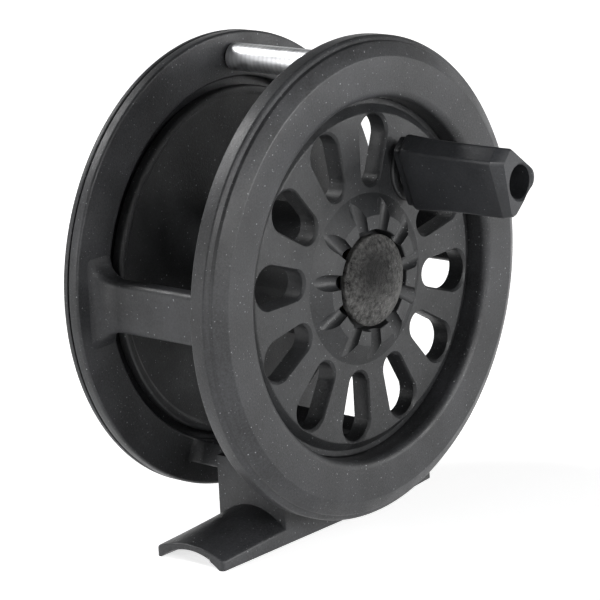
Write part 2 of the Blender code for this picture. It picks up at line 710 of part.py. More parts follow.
pawl_socket_profile = rod(PAWL_PIN_RADIUS + SEAT_GAP, pawl_boss_front - OVERRUN, pawl_socket_end)
cut(back_cover, helper("pawl_pin_socket", turned(pawl_socket_profile, SMALL_SEGMENTS), pawl_axis))

# Spindle: a turned steel shaft with a grooved nose, held to the cover by one screw from behind
nose_front = NOSE_REAR - NOSE_LENGTH
thrust_front = FLANGE_FRONT + BUSH_COLLAR_THICKNESS + RUNNING_GAP
spindle_flange_front = SPINDLE_REAR - SPINDLE_FLANGE_THICKNESS
spindle_profile = [
    (0, nose_front),
    (NOSE_RADIUS - NOSE_CHAMFER, nose_front),
    (NOSE_RADIUS, nose_front + NOSE_CHAMFER),
    (NOSE_RADIUS, NOSE_REAR),
    (NECK_RADIUS, NOSE_REAR),
    (NECK_RADIUS, -HUB_WELL_FLOOR),
    (SPINDLE_RADIUS, -HUB_WELL_FLOOR),
    (SPINDLE_RADIUS, thrust_front),
    (THRUST_RADIUS, thrust_front),
    (THRUST_RADIUS, spindle_flange_front),
    (SPINDLE_FLANGE_RADIUS, spindle_flange_front),
    (SPINDLE_FLANGE_RADIUS, SPINDLE_REAR),
    (0, SPINDLE_REAR),
]
spindle = new_object("spindle", turned(spindle_profile, MIDDLE_SEGMENTS), TURNED_STEEL)
spindle_thread_end = SPINDLE_REAR - SPINDLE_SCREW_GRIP - SEAT_GAP
round_hole(spindle, "spindle_thread", 0, 0, spindle_hole_radius, spindle_thread_end, SPINDLE_REAR + OVERRUN)
spindle_screw_seat = head_well_front + SEAT_GAP
slotted_screw(
    "spindle_screw",
    0,
    0,
    spindle_screw_seat,
    spindle_screw_seat - SPINDLE_REAR + SPINDLE_SCREW_GRIP,
    SPINDLE_SCREW_RADIUS,
    SPINDLE_HEAD_RADIUS,
    SPINDLE_HEAD_HEIGHT,
)


# Spool body: face with windows, grip hub and arbor in one moulding
def spool_body_profile():
    collar_floor = BUSH_COLLAR_THICKNESS + SEAT_GAP - HUB_WELL_FLOOR
    collar_radius = BUSH_COLLAR_RADIUS + SEAT_GAP
    hub = [
        (HUB_BORE, ARBOR_REAR),
        (HUB_BORE, collar_floor),
        (collar_radius, collar_floor),
        (collar_radius, -HUB_WELL_FLOOR),
        (HUB_WELL_RADIUS, -HUB_WELL_FLOOR),
        (HUB_WELL_RADIUS, -HUB_FRONT),
        (HUB_CREST_RADIUS, -HUB_FRONT),
        (HUB_RADIUS, -HUB_SKIRT_FRONT),
        (HUB_FOOT_RADIUS, -SPOOL_FACE_FRONT),
    ]
    face = [
        (SPOOL_COVE_INSIDE, -SPOOL_FACE_FRONT),
        ((SPOOL_COVE_INSIDE + SPOOL_COVE_OUTSIDE) / 2, -(SPOOL_FACE_FRONT + SPOOL_RIM_FRONT) / 2),
        (SPOOL_COVE_OUTSIDE, -SPOOL_RIM_FRONT),
        (SPOOL_RADIUS - SPOOL_RIM_ROUND, -SPOOL_RIM_FRONT),
        (SPOOL_RADIUS, SPOOL_RIM_ROUND - SPOOL_RIM_FRONT),
        (SPOOL_RADIUS, SPOOL_FACE_BACK - SPOOL_RIM_ROUND),
        (SPOOL_RADIUS - SPOOL_RIM_ROUND, SPOOL_FACE_BACK),
    ]
    return hub + face + [(ARBOR_RADIUS, SPOOL_FACE_BACK), (ARBOR_RADIUS, ARBOR_REAR)]


def window_form(angle):
    """Teardrop window whose wide end is towards the rim."""
    circles = [
        (WINDOW_INNER_CENTRE * cos(angle), WINDOW_INNER_CENTRE * sin(angle), WINDOW_INNER_RADIUS),
        (WINDOW_OUTER_CENTRE * cos(angle), WINDOW_OUTER_CENTRE * sin(angle), WINDOW_OUTER_RADIUS),
    ]
    outline = tangent_hull(circles, WINDOW_ARC_STEPS)
    return extruded(outline, -SPOOL_FACE_FRONT - OVERRUN, SPOOL_FACE_BACK + OVERRUN)


def radial_bar(angle, inside, outside, width, front, back):
    """Square bar that runs outwards from the spool axis at an angle."""
    half = width / 2
    outline = []
    for along, across in ((inside, -half), (outside, -half), (outside, half), (inside, half)):
        outline.append((along * cos(angle) - across * sin(angle), along * sin(angle) + across * cos(angle)))
    return extruded(outline, front, back)


def notch_form(angle):
    """Round bar that widens outwards, laid across the hub so that it leaves a round-bottomed groove."""
    loops = []
    for along, radius in (
        (HUB_WELL_RADIUS - OVERRUN / 2, HUB_NOTCH_INNER_RADIUS),
        (HUB_FOOT_RADIUS, HUB_NOTCH_OUTER_RADIUS),
    ):
        loop = []
        for i in range(HUB_NOTCH_STEPS):
            turn = 2 * pi * (i + 1 / 2) / HUB_NOTCH_STEPS
            across = radius * cos(turn)
            x = along * cos(angle) - across * sin(angle)
            z = along * sin(angle) + across * cos(angle)
            loop.append((x, radius * sin(turn) - HUB_NOTCH_AXIS, z))
        loops.append(loop)
    return lofted(loops)


spool_body = new_object("spool_body", turned(spool_body_profile(), LARGE_SEGMENTS), BLACK_PLASTIC)
boss_profile = rod(HANDLE_BOSS_RADIUS, -HANDLE_BOSS_FRONT, MOULD_JOIN - SPOOL_FACE_FRONT)
add(spool_body, helper("handle_boss_form", turned(boss_profile, MIDDLE_SEGMENTS), handle_axis))
for i in range(ARBOR_RIBS):
    rib = radial_bar(
        WINDOW_FIRST_ANGLE + (i + 1 / 2) * 2 * pi / ARBOR_RIBS,
        ARBOR_RADIUS - MOULD_JOIN,
        ARBOR_RADIUS + ARBOR_RIB_HEIGHT,
        ARBOR_RIB_WIDTH,
        SPOOL_FACE_BACK - MOULD_JOIN,
        SPOOL_FACE_BACK + ARBOR_RIB_LENGTH,
    )
    add(spool_body, helper(f"arbor_rib_{i + 1}", rib))
for i in range(WINDOW_PLACES):
    if i != HANDLE_PLACE:
        window_angle = WINDOW_FIRST_ANGLE + i * 2 * pi / WINDOW_PLACES
        cut(spool_body, helper(f"window_{i + 1}", window_form(window_angle)))
for i in range(HUB_NOTCHES):
    notch = notch_form(HUB_FIRST_NOTCH + i * 2 * pi / HUB_NOTCHES)
    cut(spool_body, helper(f"hub_notch_{i + 1}", notch))
pin_socket_end = HANDLE_PIN_GRIP - HANDLE_BOSS_FRONT
pin_socket_profile = rod(HANDLE_PIN_RADIUS + SEAT_GAP, -HANDLE_BOSS_FRONT - OVERRUN, pin_socket_end)
cut(spool_body, helper("handle_pin_socket", turned(pin_socket_profile, SMALL_SEGMENTS), handle_axis))

# Spool rear flange, held to the arbor with the click gear by three screws
flange_profile = [
    (BUSH_COLLAR_RADIUS + SEAT_GAP, FLANGE_REAR),
    (BUSH_COLLAR_RADIUS + SEAT_GAP, FLANGE_FRONT),
    (SPOOL_RADIUS - FLANGE_ROUND, FLANGE_FRONT),
    (SPOOL_RADIUS, FLANGE_FRONT + FLANGE_ROUND),
    (SPOOL_RADIUS, FLANGE_REAR - FLANGE_ROUND),
    (SPOOL_RADIUS - FLANGE_ROUND, FLANGE_REAR),
]
spool_rear_flange = new_object("spool_rear_flange", turned(flange_profile, LARGE_SEGMENTS), BLACK_PLASTIC)


def gear_outline():
    """Straight-flanked teeth; a space, not a tooth, faces the pawl."""
    root = GEAR_RADIUS - GEAR_TOOTH_DEPTH
    crest_half = GEAR_TOOTH_CREST / 2 / GEAR_RADIUS
    flat_half = GEAR_ROOT_FLAT / 2 / root
    pitch = 2 * pi / GEAR_TEETH
    outline = []
    for i in range(GEAR_TEETH):
        space = PAWL_ANGLE + i * pitch
        tooth = space + pitch / 2
        outline += arc(0, 0, root, space - flat_half, space + flat_half, GEAR_FLAT_STEPS)
        outline += arc(0, 0, GEAR_RADIUS, tooth - crest_half, tooth + crest_half, GEAR_FLAT_STEPS)
    return outline


click_gear = new_object("click_gear", extruded(gear_outline(), GEAR_FRONT, GEAR_REAR), WHITE_ACETAL)
gear_bore_profile = rod(GEAR_BORE, GEAR_FRONT - OVERRUN, GEAR_REAR + OVERRUN)
cut(click_gear, helper("gear_bore", turned(gear_bore_profile, MIDDLE_SEGMENTS)))
flange_screw_seat = GEAR_REAR + SEAT_GAP
flange_screw_hole_end = flange_screw_seat - FLANGE_SCREW_LENGTH - SEAT_GAP
for i in range(FLANGE_SCREWS):
    screw_angle = PAWL_ANGLE + i * 2 * pi / FLANGE_SCREWS
    screw_x = FLANGE_SCREW_CIRCLE * cos(screw_angle)
    screw_z = FLANGE_SCREW_CIRCLE * sin(screw_angle)
    slotted_screw(
        f"flange_screw_{i + 1}",
        screw_x,
        screw_z,
        flange_screw_seat,
        FLANGE_SCREW_LENGTH,
        SCREW_RADIUS,
        SCREW_HEAD_RADIUS,
        SCREW_HEAD_HEIGHT,
    )
    for carrier in (click_gear, spool_rear_flange, spool_body):
        round_hole(
            carrier,
            f"{carrier.name}_screw_hole_{i + 1}",
            screw_x,
            screw_z,
            SCREW_HOLE_RADIUS,
            flange_screw_hole_end,
            flange_screw_seat + OVERRUN,
        )


# Flanged bushes pressed into both ends of the arbor
def bush_profile(collar_far, collar_near, end):
    """Sleeve from its collar to its plain end; the collar lies outside the bore."""
    inside = SPINDLE_RADIUS + RUNNING_GAP
    outside = HUB_BORE - SEAT_GAP
    return [
        (inside, collar_far),
        (BUSH_COLLAR_RADIUS, collar_far),
        (BUSH_COLLAR_RADIUS, collar_near),
        (outside, collar_near),
        (outside, end),
        (inside, end),
    ]


front_collar = BUSH_COLLAR_THICKNESS - HUB_WELL_FLOOR
bush_front_profile = bush_profile(-HUB_WELL_FLOOR, front_collar, front_collar + BUSH_LENGTH)
new_object("bush_front", turned(bush_front_profile, MIDDLE_SEGMENTS), BRONZE)
bush_rear_profile = bush_profile(
    FLANGE_FRONT + BUSH_COLLAR_THICKNESS, FLANGE_FRONT, FLANGE_FRONT - BUSH_LENGTH
)
new_object("bush_rear", turned(bush_rear_profile, MIDDLE_SEGMENTS), BRONZE)


# Latch: a steel plate whose round hole sits off centre, so that its edge lies behind the spindle nose
def latch_sections():
    """Outline at the front and rear face; the right end slopes where the button's finger pushes it."""
    half = LATCH_HALF_WIDTH
    outline = rounded_rectangle(-LATCH_LEFT, LATCH_RIGHT, -half, half, LATCH_CORNER)
    slope_start = LATCH_RIGHT - LATCH_CORNER - LATCH_THICKNESS
    front = []
    for x, z in outline:
        setback = LATCH_THICKNESS if x > slope_start else 0
        front.append((x - setback, LATCH_FRONT, z))
    return [front, [(x, LATCH_REAR, z) for x, z in outline]]


spool_latch = new_object("spool_latch", lofted(latch_sections()), SPRING_STEEL)
latch_hole_profile = rod(LATCH_HOLE_RADIUS, LATCH_FRONT - OVERRUN, LATCH_REAR + OVERRUN)
latch_hole = helper("latch_hole", turned(latch_hole_profile, MIDDLE_SEGMENTS))
latch_hole.location = (LATCH_TRAVEL, 0, 0)
cut(spool_latch, latch_hole)

# Leaf spring that pushes the latch back, drawn as it lies while the button is down
latch_spring_inner = -LATCH_LEFT - LATCH_TRAVEL - SEAT_GAP
latch_spring_outer = latch_spring_inner - LATCH_SPRING_THICKNESS
latch_spring_outline = [
    (latch_spring_outer, -LATCH_SPRING_HALF_LENGTH),
    (latch_spring_inner, -LATCH_SPRING_HALF_LENGTH),
    (latch_spring_inner, LATCH_SPRING_HALF_LENGTH),
    (latch_spring_outer, LATCH_SPRING_HALF_LENGTH),
]
new_object("latch_spring", extruded(latch_spring_outline, LATCH_FRONT, LATCH_REAR), SPRING_STEEL)


# Release button: a domed cap with one sloped finger that reaches the latch's end
def button_profile():
    rim_radius = BUTTON_RADIUS - BUTTON_EDGE_ROUND
    rise = BUTTON_CROWN_FRONT - BUTTON_RIM_FRONT
    dome_radius = (rim_radius**2 + rise**2) / (2 * rise)
    spread = asin(rim_radius / dome_radius)
    dome = arc(0, dome_radius - BUTTON_CROWN_FRONT, dome_radius, -pi / 2, spread - pi / 2, BUTTON_DOME_STEPS)
    skirt = [
        (BUTTON_RADIUS, BUTTON_EDGE_ROUND - BUTTON_RIM_FRONT),
        (BUTTON_RADIUS, BUTTON_REAR),
        (BUTTON_CAVITY_RADIUS, BUTTON_REAR),
        (BUTTON_CAVITY_RADIUS, -BUTTON_CAVITY_FRONT),
        (0, -BUTTON_CAVITY_FRONT),
    ]
    return [(0, -BUTTON_CROWN_FRONT)] + dome[1:] + skirt


def finger_form():
    """Wedge whose sloped face runs parallel to the latch's sloped end."""
    slope_at_latch_front = LATCH_RIGHT - LATCH_THICKNESS + LATCH_CLEARANCE * sqrt(2)
    tip = LATCH_FRONT - SEAT_GAP / 2
    root = BUTTON_REAR - BUTTON_EDGE_ROUND
    outline = [
        (slope_at_latch_front + root - LATCH_FRONT, root),
        (slope_at_latch_front + tip - LATCH_FRONT, tip),
        (FINGER_OUTSIDE, tip),
        (FINGER_OUTSIDE, root),
    ]
    half = FINGER_WIDTH / 2
    return lofted([[(x, y, z) for x, y in outline] for z in (-half, half)])


release_button = new_object("release_button", turned(button_profile(), MIDDLE_SEGMENTS), BUTTON_PLASTIC)
add(release_button, helper("finger_form", finger_form()))


# Button spring: a flat cone of round wire, drawn as it lies while the button is down
def button_spring_places():
    """Middle of the wire, from the wide coil on the latch to the narrow one under the button."""
    count = BUTTON_SPRING_COILS * SPRING_POINTS_PER_COIL
    places = []
    for i in range(count + 1):
        turn = i / SPRING_POINTS_PER_COIL
        angle = pi + 2 * pi * turn
        radius = BUTTON_SPRING_OUTSIDE - BUTTON_SPRING_WIRE - BUTTON_SPRING_RADIAL_PITCH * turn
        y = NOSE_REAR - BUTTON_SPRING_WIRE - BUTTON_SPRING_RISE * i / count
        places.append((radius * cos(angle), y, radius * sin(angle)))
    return places


def least_gap(places, apart, wire):
    """Smallest gap of a coiled wire to its own turns, between points at least so many places apart."""
    gaps = []
    for i, first in enumerate(places):
        for second in places[i + apart :]:
            gaps.append(sqrt(sum((a - b) ** 2 for a, b in zip(first, second))) - 2 * wire)
    return min(gaps)


spring_places = button_spring_places()
spring_gap = least_gap(spring_places, SPRING_POINTS_PER_COIL // 2, BUTTON_SPRING_WIRE)
print(f"button_spring, least gap to itself: {spring_gap:.5f} m")
spring_curve = bpy.data.curves.new("button_spring", "CURVE")
spring_curve.dimensions = "3D"
spring_curve.bevel_depth = BUTTON_SPRING_WIRE
spring_curve.bevel_resolution = 1
spring_curve.use_fill_caps = True
spring_line = spring_curve.splines.new("POLY")
spring_line.points.add(len(spring_places) - 1)
for point, place in zip(spring_line.points, spring_places):
    point.co = (*place, 1)
spring_curve.materials.append(finish_material("button_spring", SPRING_STEEL))
button_spring = bpy.data.objects.new("button_spring", spring_curve)
button_spring.parent = spool_axis
bpy.context.scene.collection.objects.link(button_spring)


# Pawl: a rocking plate that drops into the gear's spaces, with its pin and the leaf that centres it
def pawl_outline():
    """(x, z) from the pawl's pivot: pointed towards the gear, round at the back with a flat."""
    tip_place = PAWL_PIVOT - GEAR_RADIUS + PAWL_ENGAGEMENT - PAWL_TIP_RADIUS
    flat = asin(PAWL_BACK / PAWL_BACK_RADIUS)
    side = acos(PAWL_HALF_WIDTH / PAWL_BACK_RADIUS)
    right = arc(0, 0, PAWL_BACK_RADIUS, side, flat, CORNER_STEPS)
    left = [(-x, z) for x, z in right[::-1]]
    tip = arc(0, -tip_place, PAWL_TIP_RADIUS, pi, 2 * pi, CORNER_STEPS)
    return tip + [(PAWL_HALF_WIDTH, -PAWL_SHOULDER)] + right + left + [(-PAWL_HALF_WIDTH, -PAWL_SHOULDER)]


click_pawl = new_object("click_pawl", extruded(pawl_outline(), GEAR_FRONT, GEAR_REAR), WHITE_ACETAL, pawl_axis)
pawl_bore_profile = rod(PAWL_PIN_RADIUS + SEAT_GAP, GEAR_FRONT - OVERRUN, GEAR_REAR + OVERRUN)
cut(click_pawl, helper("pawl_bore", turned(pawl_bore_profile, SMALL_SEGMENTS), pawl_axis))
pawl_pin_profile = rod(PAWL_PIN_RADIUS, GEAR_FRONT, pawl_socket_end - SEAT_GAP)
new_object("pawl_pin", turned(pawl_pin_profile, SMALL_SEGMENTS), TURNED_STEEL, pawl_axis)
leaf_outline = [
    (-LEAF_HALF_LENGTH, LEAF_INNER),
    (LEAF_HALF_LENGTH, LEAF_INNER),
    (LEAF_HALF_LENGTH, LEAF_OUTER),
    (-LEAF_HALF_LENGTH, LEAF_OUTER),
]
new_object("pawl_spring", extruded(leaf_outline, GEAR_FRONT, HOUSING_FLOOR_FRONT - SEAT_GAP), SPRING_STEEL)


# Handle: a rounded three-sided grip that turns on a headed pin
def grip_section(y, spread, ridge_cut=0):
    """Outline of the grip at y, its corner circles grown by spread and the ridge drawn in by ridge_cut."""
    circles = [
        (GRIP_KEEL_X, GRIP_KEEL_Z, GRIP_KEEL_RADIUS + spread),
        (GRIP_NOSE_X, GRIP_NOSE_Z, GRIP_NOSE_RADIUS + spread),
        (GRIP_RIDGE_X + ridge_cut, GRIP_RIDGE_Z, GRIP_RIDGE_RADIUS + spread),
    ]
    return [(x, y, z) for x, z in tangent_hull(circles, GRIP_ARC_STEPS)]


collar_front = GRIP_REAR - GRIP_COLLAR_LENGTH
flare_front = collar_front - GRIP_CHAMFER
grip_sections = [
    grip_section(-HANDLE_END, -GRIP_END_INSET, GRIP_RIDGE_CUT),
    grip_section(GRIP_END_BEVEL - HANDLE_END, 0),
    grip_section(flare_front - 2 * GRIP_FLARE_LENGTH, 0),
    grip_section(flare_front - GRIP_FLARE_LENGTH, GRIP_FLARE / 4),
    grip_section(flare_front, GRIP_FLARE),
    grip_section(collar_front, GRIP_COLLAR_INSET),
    grip_section(GRIP_REAR, GRIP_COLLAR_INSET),
]
handle_knob = new_object("handle_knob", lofted(grip_sections), GRIP_PLASTIC, handle_axis)
bore_floor = HANDLE_BORE_DEPTH - HANDLE_END
bore_profile = rod(HANDLE_BORE_RADIUS, -HANDLE_END - OVERRUN, bore_floor)
cut(handle_knob, helper("handle_bore", turned(bore_profile, MIDDLE_SEGMENTS), handle_axis))
pin_bore_profile = rod(HANDLE_PIN_RADIUS + RUNNING_GAP, bore_floor - OVERRUN, GRIP_REAR + OVERRUN)
cut(handle_knob, helper("handle_pin_bore", turned(pin_bore_profile, MIDDLE_SEGMENTS), handle_axis))

pin_head_rear = bore_floor - SEAT_GAP
pin_head_front = pin_head_rear - HANDLE_PIN_HEAD_HEIGHT
pin_end = pin_socket_end - SEAT_GAP
pin_profile = [
    (0, pin_head_front),
    (HANDLE_PIN_HEAD_RADIUS - SCREW_HEAD_CHAMFER, pin_head_front),
    (HANDLE_PIN_HEAD_RADIUS, pin_head_front + SCREW_HEAD_CHAMFER),
    (HANDLE_PIN_HEAD_RADIUS, pin_head_rear),
    (HANDLE_PIN_RADIUS, pin_head_rear),
    (HANDLE_PIN_RADIUS, pin_end),
    (0, pin_end),
]
new_object("handle_pin", turned(pin_profile, MIDDLE_SEGMENTS), TURNED_STEEL, handle_axis)
washer_front = -HANDLE_BOSS_FRONT - SEAT_GAP - HANDLE_WASHER_THICKNESS
washer_rear = washer_front + HANDLE_WASHER_THICKNESS
washer_profile = [
    (HANDLE_PIN_RADIUS + SEAT_GAP, washer_front),
    (HANDLE_WASHER_RADIUS, washer_front),
    (HANDLE_WASHER_RADIUS, washer_rear),
    (HANDLE_PIN_RADIUS + SEAT_GAP, washer_rear),
]
new_object("handle_washer", turned(washer_profile, MIDDLE_SEGMENTS), TURNED_STEEL, handle_axis)
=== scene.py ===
from math import acos, atan2, cos, pi, radians, sin, sqrt, tan

import bmesh
import bpy
from mathutils import Matrix, Vector


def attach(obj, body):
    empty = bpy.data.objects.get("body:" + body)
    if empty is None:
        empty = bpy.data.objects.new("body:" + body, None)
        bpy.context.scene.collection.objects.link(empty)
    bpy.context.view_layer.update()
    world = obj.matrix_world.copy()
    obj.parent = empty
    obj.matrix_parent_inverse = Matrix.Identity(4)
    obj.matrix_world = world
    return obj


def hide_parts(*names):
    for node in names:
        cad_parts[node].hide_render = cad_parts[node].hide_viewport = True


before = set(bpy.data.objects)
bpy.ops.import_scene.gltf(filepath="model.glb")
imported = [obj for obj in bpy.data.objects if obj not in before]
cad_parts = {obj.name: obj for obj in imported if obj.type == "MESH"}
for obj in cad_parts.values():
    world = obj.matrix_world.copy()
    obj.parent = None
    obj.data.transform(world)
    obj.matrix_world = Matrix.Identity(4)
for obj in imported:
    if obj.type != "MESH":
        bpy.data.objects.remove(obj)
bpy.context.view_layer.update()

# Front ring: the broad rim of the moulded cage, satin black plastic as it leaves the mould.
# Its outer edge steps down in soft ridges to a flat face, a rounded lip runs round the spool,
# and a short skirt behind it closes the gap at the spool's rim.
# Sizes are in millimetres: radius from the spool axis, and y from the rear face of this ring.
MM = 0.001
AXIS_HEIGHT = 43.0
RING_REAR = -3.4
WELD = 0.003
LARGE_SEGMENTS = 180
FILLET_STEPS = 5
SMOOTH_ANGLE = radians(28)
RING_CORNERS = [
    (29.85, -5.0, 1.4),
    (36.6, -5.0, 0.7),
    (38.95, -3.7, 0.35),
    (39.1, -3.2, 0.12),
    (39.55, -3.0, 0.12),
    (40.0, -2.7, 0.45),
    (40.0, 0.0, 0.4),
    (31.4, 0.0, 0.3),
    (31.4, 1.0, 0.2),
    (29.85, 1.0, 0.2),
]


def place(x, y, z):
    """World place of a point counted from the spool axis and the front ring's rear face."""
    return Vector((x, y + RING_REAR, z + AXIS_HEIGHT)) * MM


def filleted(corners, steps=FILLET_STEPS):
    """Closed outline of (a, b, fillet) corners, each fillet drawn as an arc."""
    outline = []
    for i, (a, b, fillet) in enumerate(corners):
        here = Vector((a, b))
        if not fillet:
            outline.append(here)
            continue
        before = (Vector(corners[i - 1][:2]) - here).normalized()
        after = (Vector(corners[(i + 1) % len(corners)][:2]) - here).normalized()
        half = acos(before.dot(after)) / 2
        centre = here + (before + after).normalized() * (fillet / sin(half))
        first = here + before * (fillet / tan(half)) - centre
        last = here + after * (fillet / tan(half)) - centre
        sweep = atan2(first.x * last.y - first.y * last.x, first.dot(last))
        start = atan2(first.y, first.x)
        for step in range(steps + 1):
            angle = start + sweep * step / steps
            outline.append(centre + Vector((cos(angle), sin(angle))) * fillet)
    return outline


def new_piece(name):
    """The primitive just added, named, with its place moved into its mesh."""
    piece = bpy.context.object
    piece.name = piece.data.name = name
    bpy.ops.object.transform_apply(location=True, rotation=True, scale=True)
    return piece


def outline_drawn(name, points):
    """A single vertex extruded from point to point."""
    bpy.ops.object.select_all(action="DESELECT")
    bpy.ops.mesh.primitive_plane_add(size=MM, location=points[0])
    piece = new_piece(name)
    bpy.ops.object.mode_set(mode="EDIT")
    bpy.ops.mesh.select_mode(type="VERT")
    bpy.ops.mesh.select_all(action="SELECT")
    bpy.ops.mesh.merge(type="CENTER")
    for near, far in zip(points, points[1:]):
        bpy.ops.mesh.extrude_vertices_move(TRANSFORM_OT_translate={"value": far - near})
    return piece


def closed_up():
    """Doubles merged and faces turned outwards; ends edit mode."""
    bpy.ops.mesh.select_all(action="SELECT")
    bpy.ops.mesh.remove_doubles(threshold=WELD * MM)
    bpy.ops.mesh.normals_make_consistent(inside=False)
    bpy.ops.object.mode_set(mode="OBJECT")


def smoothed(piece, angle=SMOOTH_ANGLE):
    bpy.ops.object.select_all(action="DESELECT")
    piece.select_set(True)
    bpy.context.view_layer.objects.active = piece
    bpy.ops.object.shade_smooth_by_angle(angle=angle)


def turned(name, corners, segments=LARGE_SEGMENTS, x=0.0, z=0.0):
    """Outline of (radius, y, fillet) corners spun round the Y axis through x, z."""
    outline = filleted(corners)
    if outline[0].x > 0 or outline[-1].x > 0:
        outline.append(outline[0])
    piece = outline_drawn(name, [place(x + point.x, point.y, z) for point in outline])
    bpy.ops.mesh.select_all(action="SELECT")
    bpy.ops.mesh.spin(steps=segments, angle=2 * pi, center=place(x, 0, z), axis=(0, 1, 0))
    closed_up()
    smoothed(piece)
    return piece


def node(tree, kind, inputs, **settings):
    """Shader node with its settings made and its inputs linked or set."""
    made = tree.nodes.new(kind)
    for name, value in settings.items():
        setattr(made, name, value)
    for name, value in inputs.items():
        if isinstance(value, bpy.types.NodeSocket):
            tree.links.new(value, made.inputs[name])
        else:
            made.inputs[name].default_value = value
    return made


def new_material(name):
    material = bpy.data.materials.new(name)
    material.use_nodes = True
    tree = material.node_tree
    shader = tree.nodes["Principled BSDF"]
    coordinates = tree.nodes.new("ShaderNodeTexCoord").outputs["Object"]
    return material, tree, shader, coordinates


def ranged(tree, value, low, high, to_low, to_high):
    inputs = {"Value": value, "From Min": low, "From Max": high, "To Min": to_low, "To Max": to_high}
    return node(tree, "ShaderNodeMapRange", inputs).outputs["Result"]


def noise(tree, coordinates, scale, detail, roughness=0.5):
    inputs = {"Vector": coordinates, "Scale": scale, "Detail": detail, "Roughness": roughness}
    return node(tree, "ShaderNodeTexNoise", inputs).outputs["Fac"]


def blended(tree, factor, first, second):
    inputs = {"Factor": factor, "A": first, "B": second}
    return node(tree, "ShaderNodeMix", inputs, data_type="RGBA").outputs["Result"]


MOTTLE_SCALE = 90
SHEEN_SCALE = 240
WAVE_SCALE = 140
WAVE_DEPTH = 0.08
PLASTIC_GLOSS = 0.4
SPECK_COLOUR = (0.34, 0.35, 0.36, 1)
# Specks: spacing in millimetres, reach as a share of the spacing, and their share of the dust.
COARSE_SPECKS = (1.2, 0.12, 1.0)
FINE_SPECKS = (0.5, 0.16, 0.5)


def moulded_plastic(name, dark, pale, smooth, rough, grain_size, grain_depth, dust):
    """Plastic as it leaves the mould: faint mottling, fine grain, uneven sheen and settled dust."""
    material, tree, shader, coordinates = new_material(name)
    mottle = noise(tree, coordinates, MOTTLE_SCALE, 6)
    grain = noise(tree, coordinates, 1000 / grain_size, 4, 0.65)
    both = node(tree, "ShaderNodeMath", {0: mottle, 1: grain}, operation="ADD").outputs["Value"]
    colour = blended(tree, ranged(tree, both, 0.8, 1.25, 0.0, 1.0), (*dark, 1), (*pale, 1))
    for spacing, reach, part in (COARSE_SPECKS, FINE_SPECKS):
        share = dust * part
        spots = {"Vector": coordinates, "Scale": 1000 / spacing, "Randomness": 1}
        cells = node(tree, "ShaderNodeTexVoronoi", spots)
        near = ranged(tree, cells.outputs["Distance"], reach * 0.4, reach, 1.0, 0.0)
        chosen = node(tree, "ShaderNodeSeparateColor", {"Color": cells.outputs["Color"]}).outputs["Red"]
        kept = ranged(tree, chosen, 1 - share, 1, 0.0, 1.0)
        speck = node(tree, "ShaderNodeMath", {0: near, 1: kept}, operation="MULTIPLY").outputs["Value"]
        colour = blended(tree, speck, colour, SPECK_COLOUR)
    tree.links.new(colour, shader.inputs["Base Color"])
    shader.inputs["Specular IOR Level"].default_value = PLASTIC_GLOSS
    sheen = noise(tree, coordinates, SHEEN_SCALE, 4)
    tree.links.new(ranged(tree, sheen, 0.3, 0.7, smooth, rough), shader.inputs["Roughness"])
    wave = noise(tree, coordinates, WAVE_SCALE, 1)
    slow = node(tree, "ShaderNodeBump", {"Height": wave, "Strength": 0.3, "Distance": WAVE_DEPTH * MM})
    relief = {"Height": grain, "Strength": 0.7, "Distance": grain_depth * MM}
    fine = node(tree, "ShaderNodeBump", {**relief, "Normal": slow.outputs["Normal"]})
    tree.links.new(fine.outputs["Normal"], shader.inputs["Normal"])
    return material


def dressed(piece, material, body):
    """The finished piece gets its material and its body."""
    piece.data.materials.clear()
    piece.data.materials.append(material)
    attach(piece, body)


cage_black = moulded_plastic(
    "cage_black",
    dark=(0.015, 0.0155, 0.0165),
    pale=(0.044, 0.045, 0.049),
    smooth=0.34,
    rough=0.52,
    grain_size=0.35,
    grain_depth=0.06,
    dust=0.9,
)
front_ring = turned("front_ring", RING_CORNERS)
dressed(front_ring, cage_black, "cage")
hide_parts("frame")

# Back ring: the plain flat ring at the rear of the same moulding, with softened edges.
# The back cover lies against it, and the seam between the two shows on the rim.
BACK_RING_CORNERS = [(31.0, 25.5, 0.5), (38.7, 25.5, 0.5), (38.7, 27.4, 0.2), (31.0, 27.4, 0.2)]
back_ring = turned("back_ring", BACK_RING_CORNERS)
dressed(back_ring, cage_black, "cage")

# Side pillars: two stout bars of the moulding that join the rings, with rounded edges.
# The rear end flares up, down and outwards into the back ring, where the mould fills it for strength.
PILLAR_OUTSIDE = 33.8
PILLAR_THICKNESS = 3.4
PILLAR_TOP = 3.9
PILLAR_BOTTOM = -4.7
PILLAR_RISE = 3.5
PILLAR_DROP = 2.8
PILLAR_SPREAD = 2.2
PILLAR_FLARE = 4.2
PILLAR_EDGE_ROUND = 1.2
CAGE_LENGTH = 25.5
RING_BITE = 0.5


def pick(piece, kind, wanted):
    """Selects the vertices, edges or faces in edit mode that fit, and nothing else."""
    bpy.ops.mesh.select_mode(type=kind)
    bpy.ops.mesh.select_all(action="DESELECT")
    mesh = bmesh.from_edit_mesh(piece.data)
    for part in {"VERT": mesh.verts, "EDGE": mesh.edges, "FACE": mesh.faces}[kind]:
        if wanted(part):
            part.select_set(True)
    mesh.select_flush_mode()
    bmesh.update_edit_mesh(piece.data)


def block(name, low, high):
    """Cube stretched to reach from one corner to the other; stays in edit mode."""
    bpy.ops.object.select_all(action="DESELECT")
    low, high = place(*low), place(*high)
    bpy.ops.mesh.primitive_cube_add(size=1, location=(low + high) / 2, scale=high - low)
    piece = new_piece(name)
    bpy.ops.object.mode_set(mode="EDIT")
    return piece


def sliced(spots, direction):
    """Cuts all of the mesh across at each spot."""
    for spot in spots:
        bpy.ops.mesh.select_all(action="SELECT")
        bpy.ops.mesh.bisect(plane_co=spot, plane_no=direction)


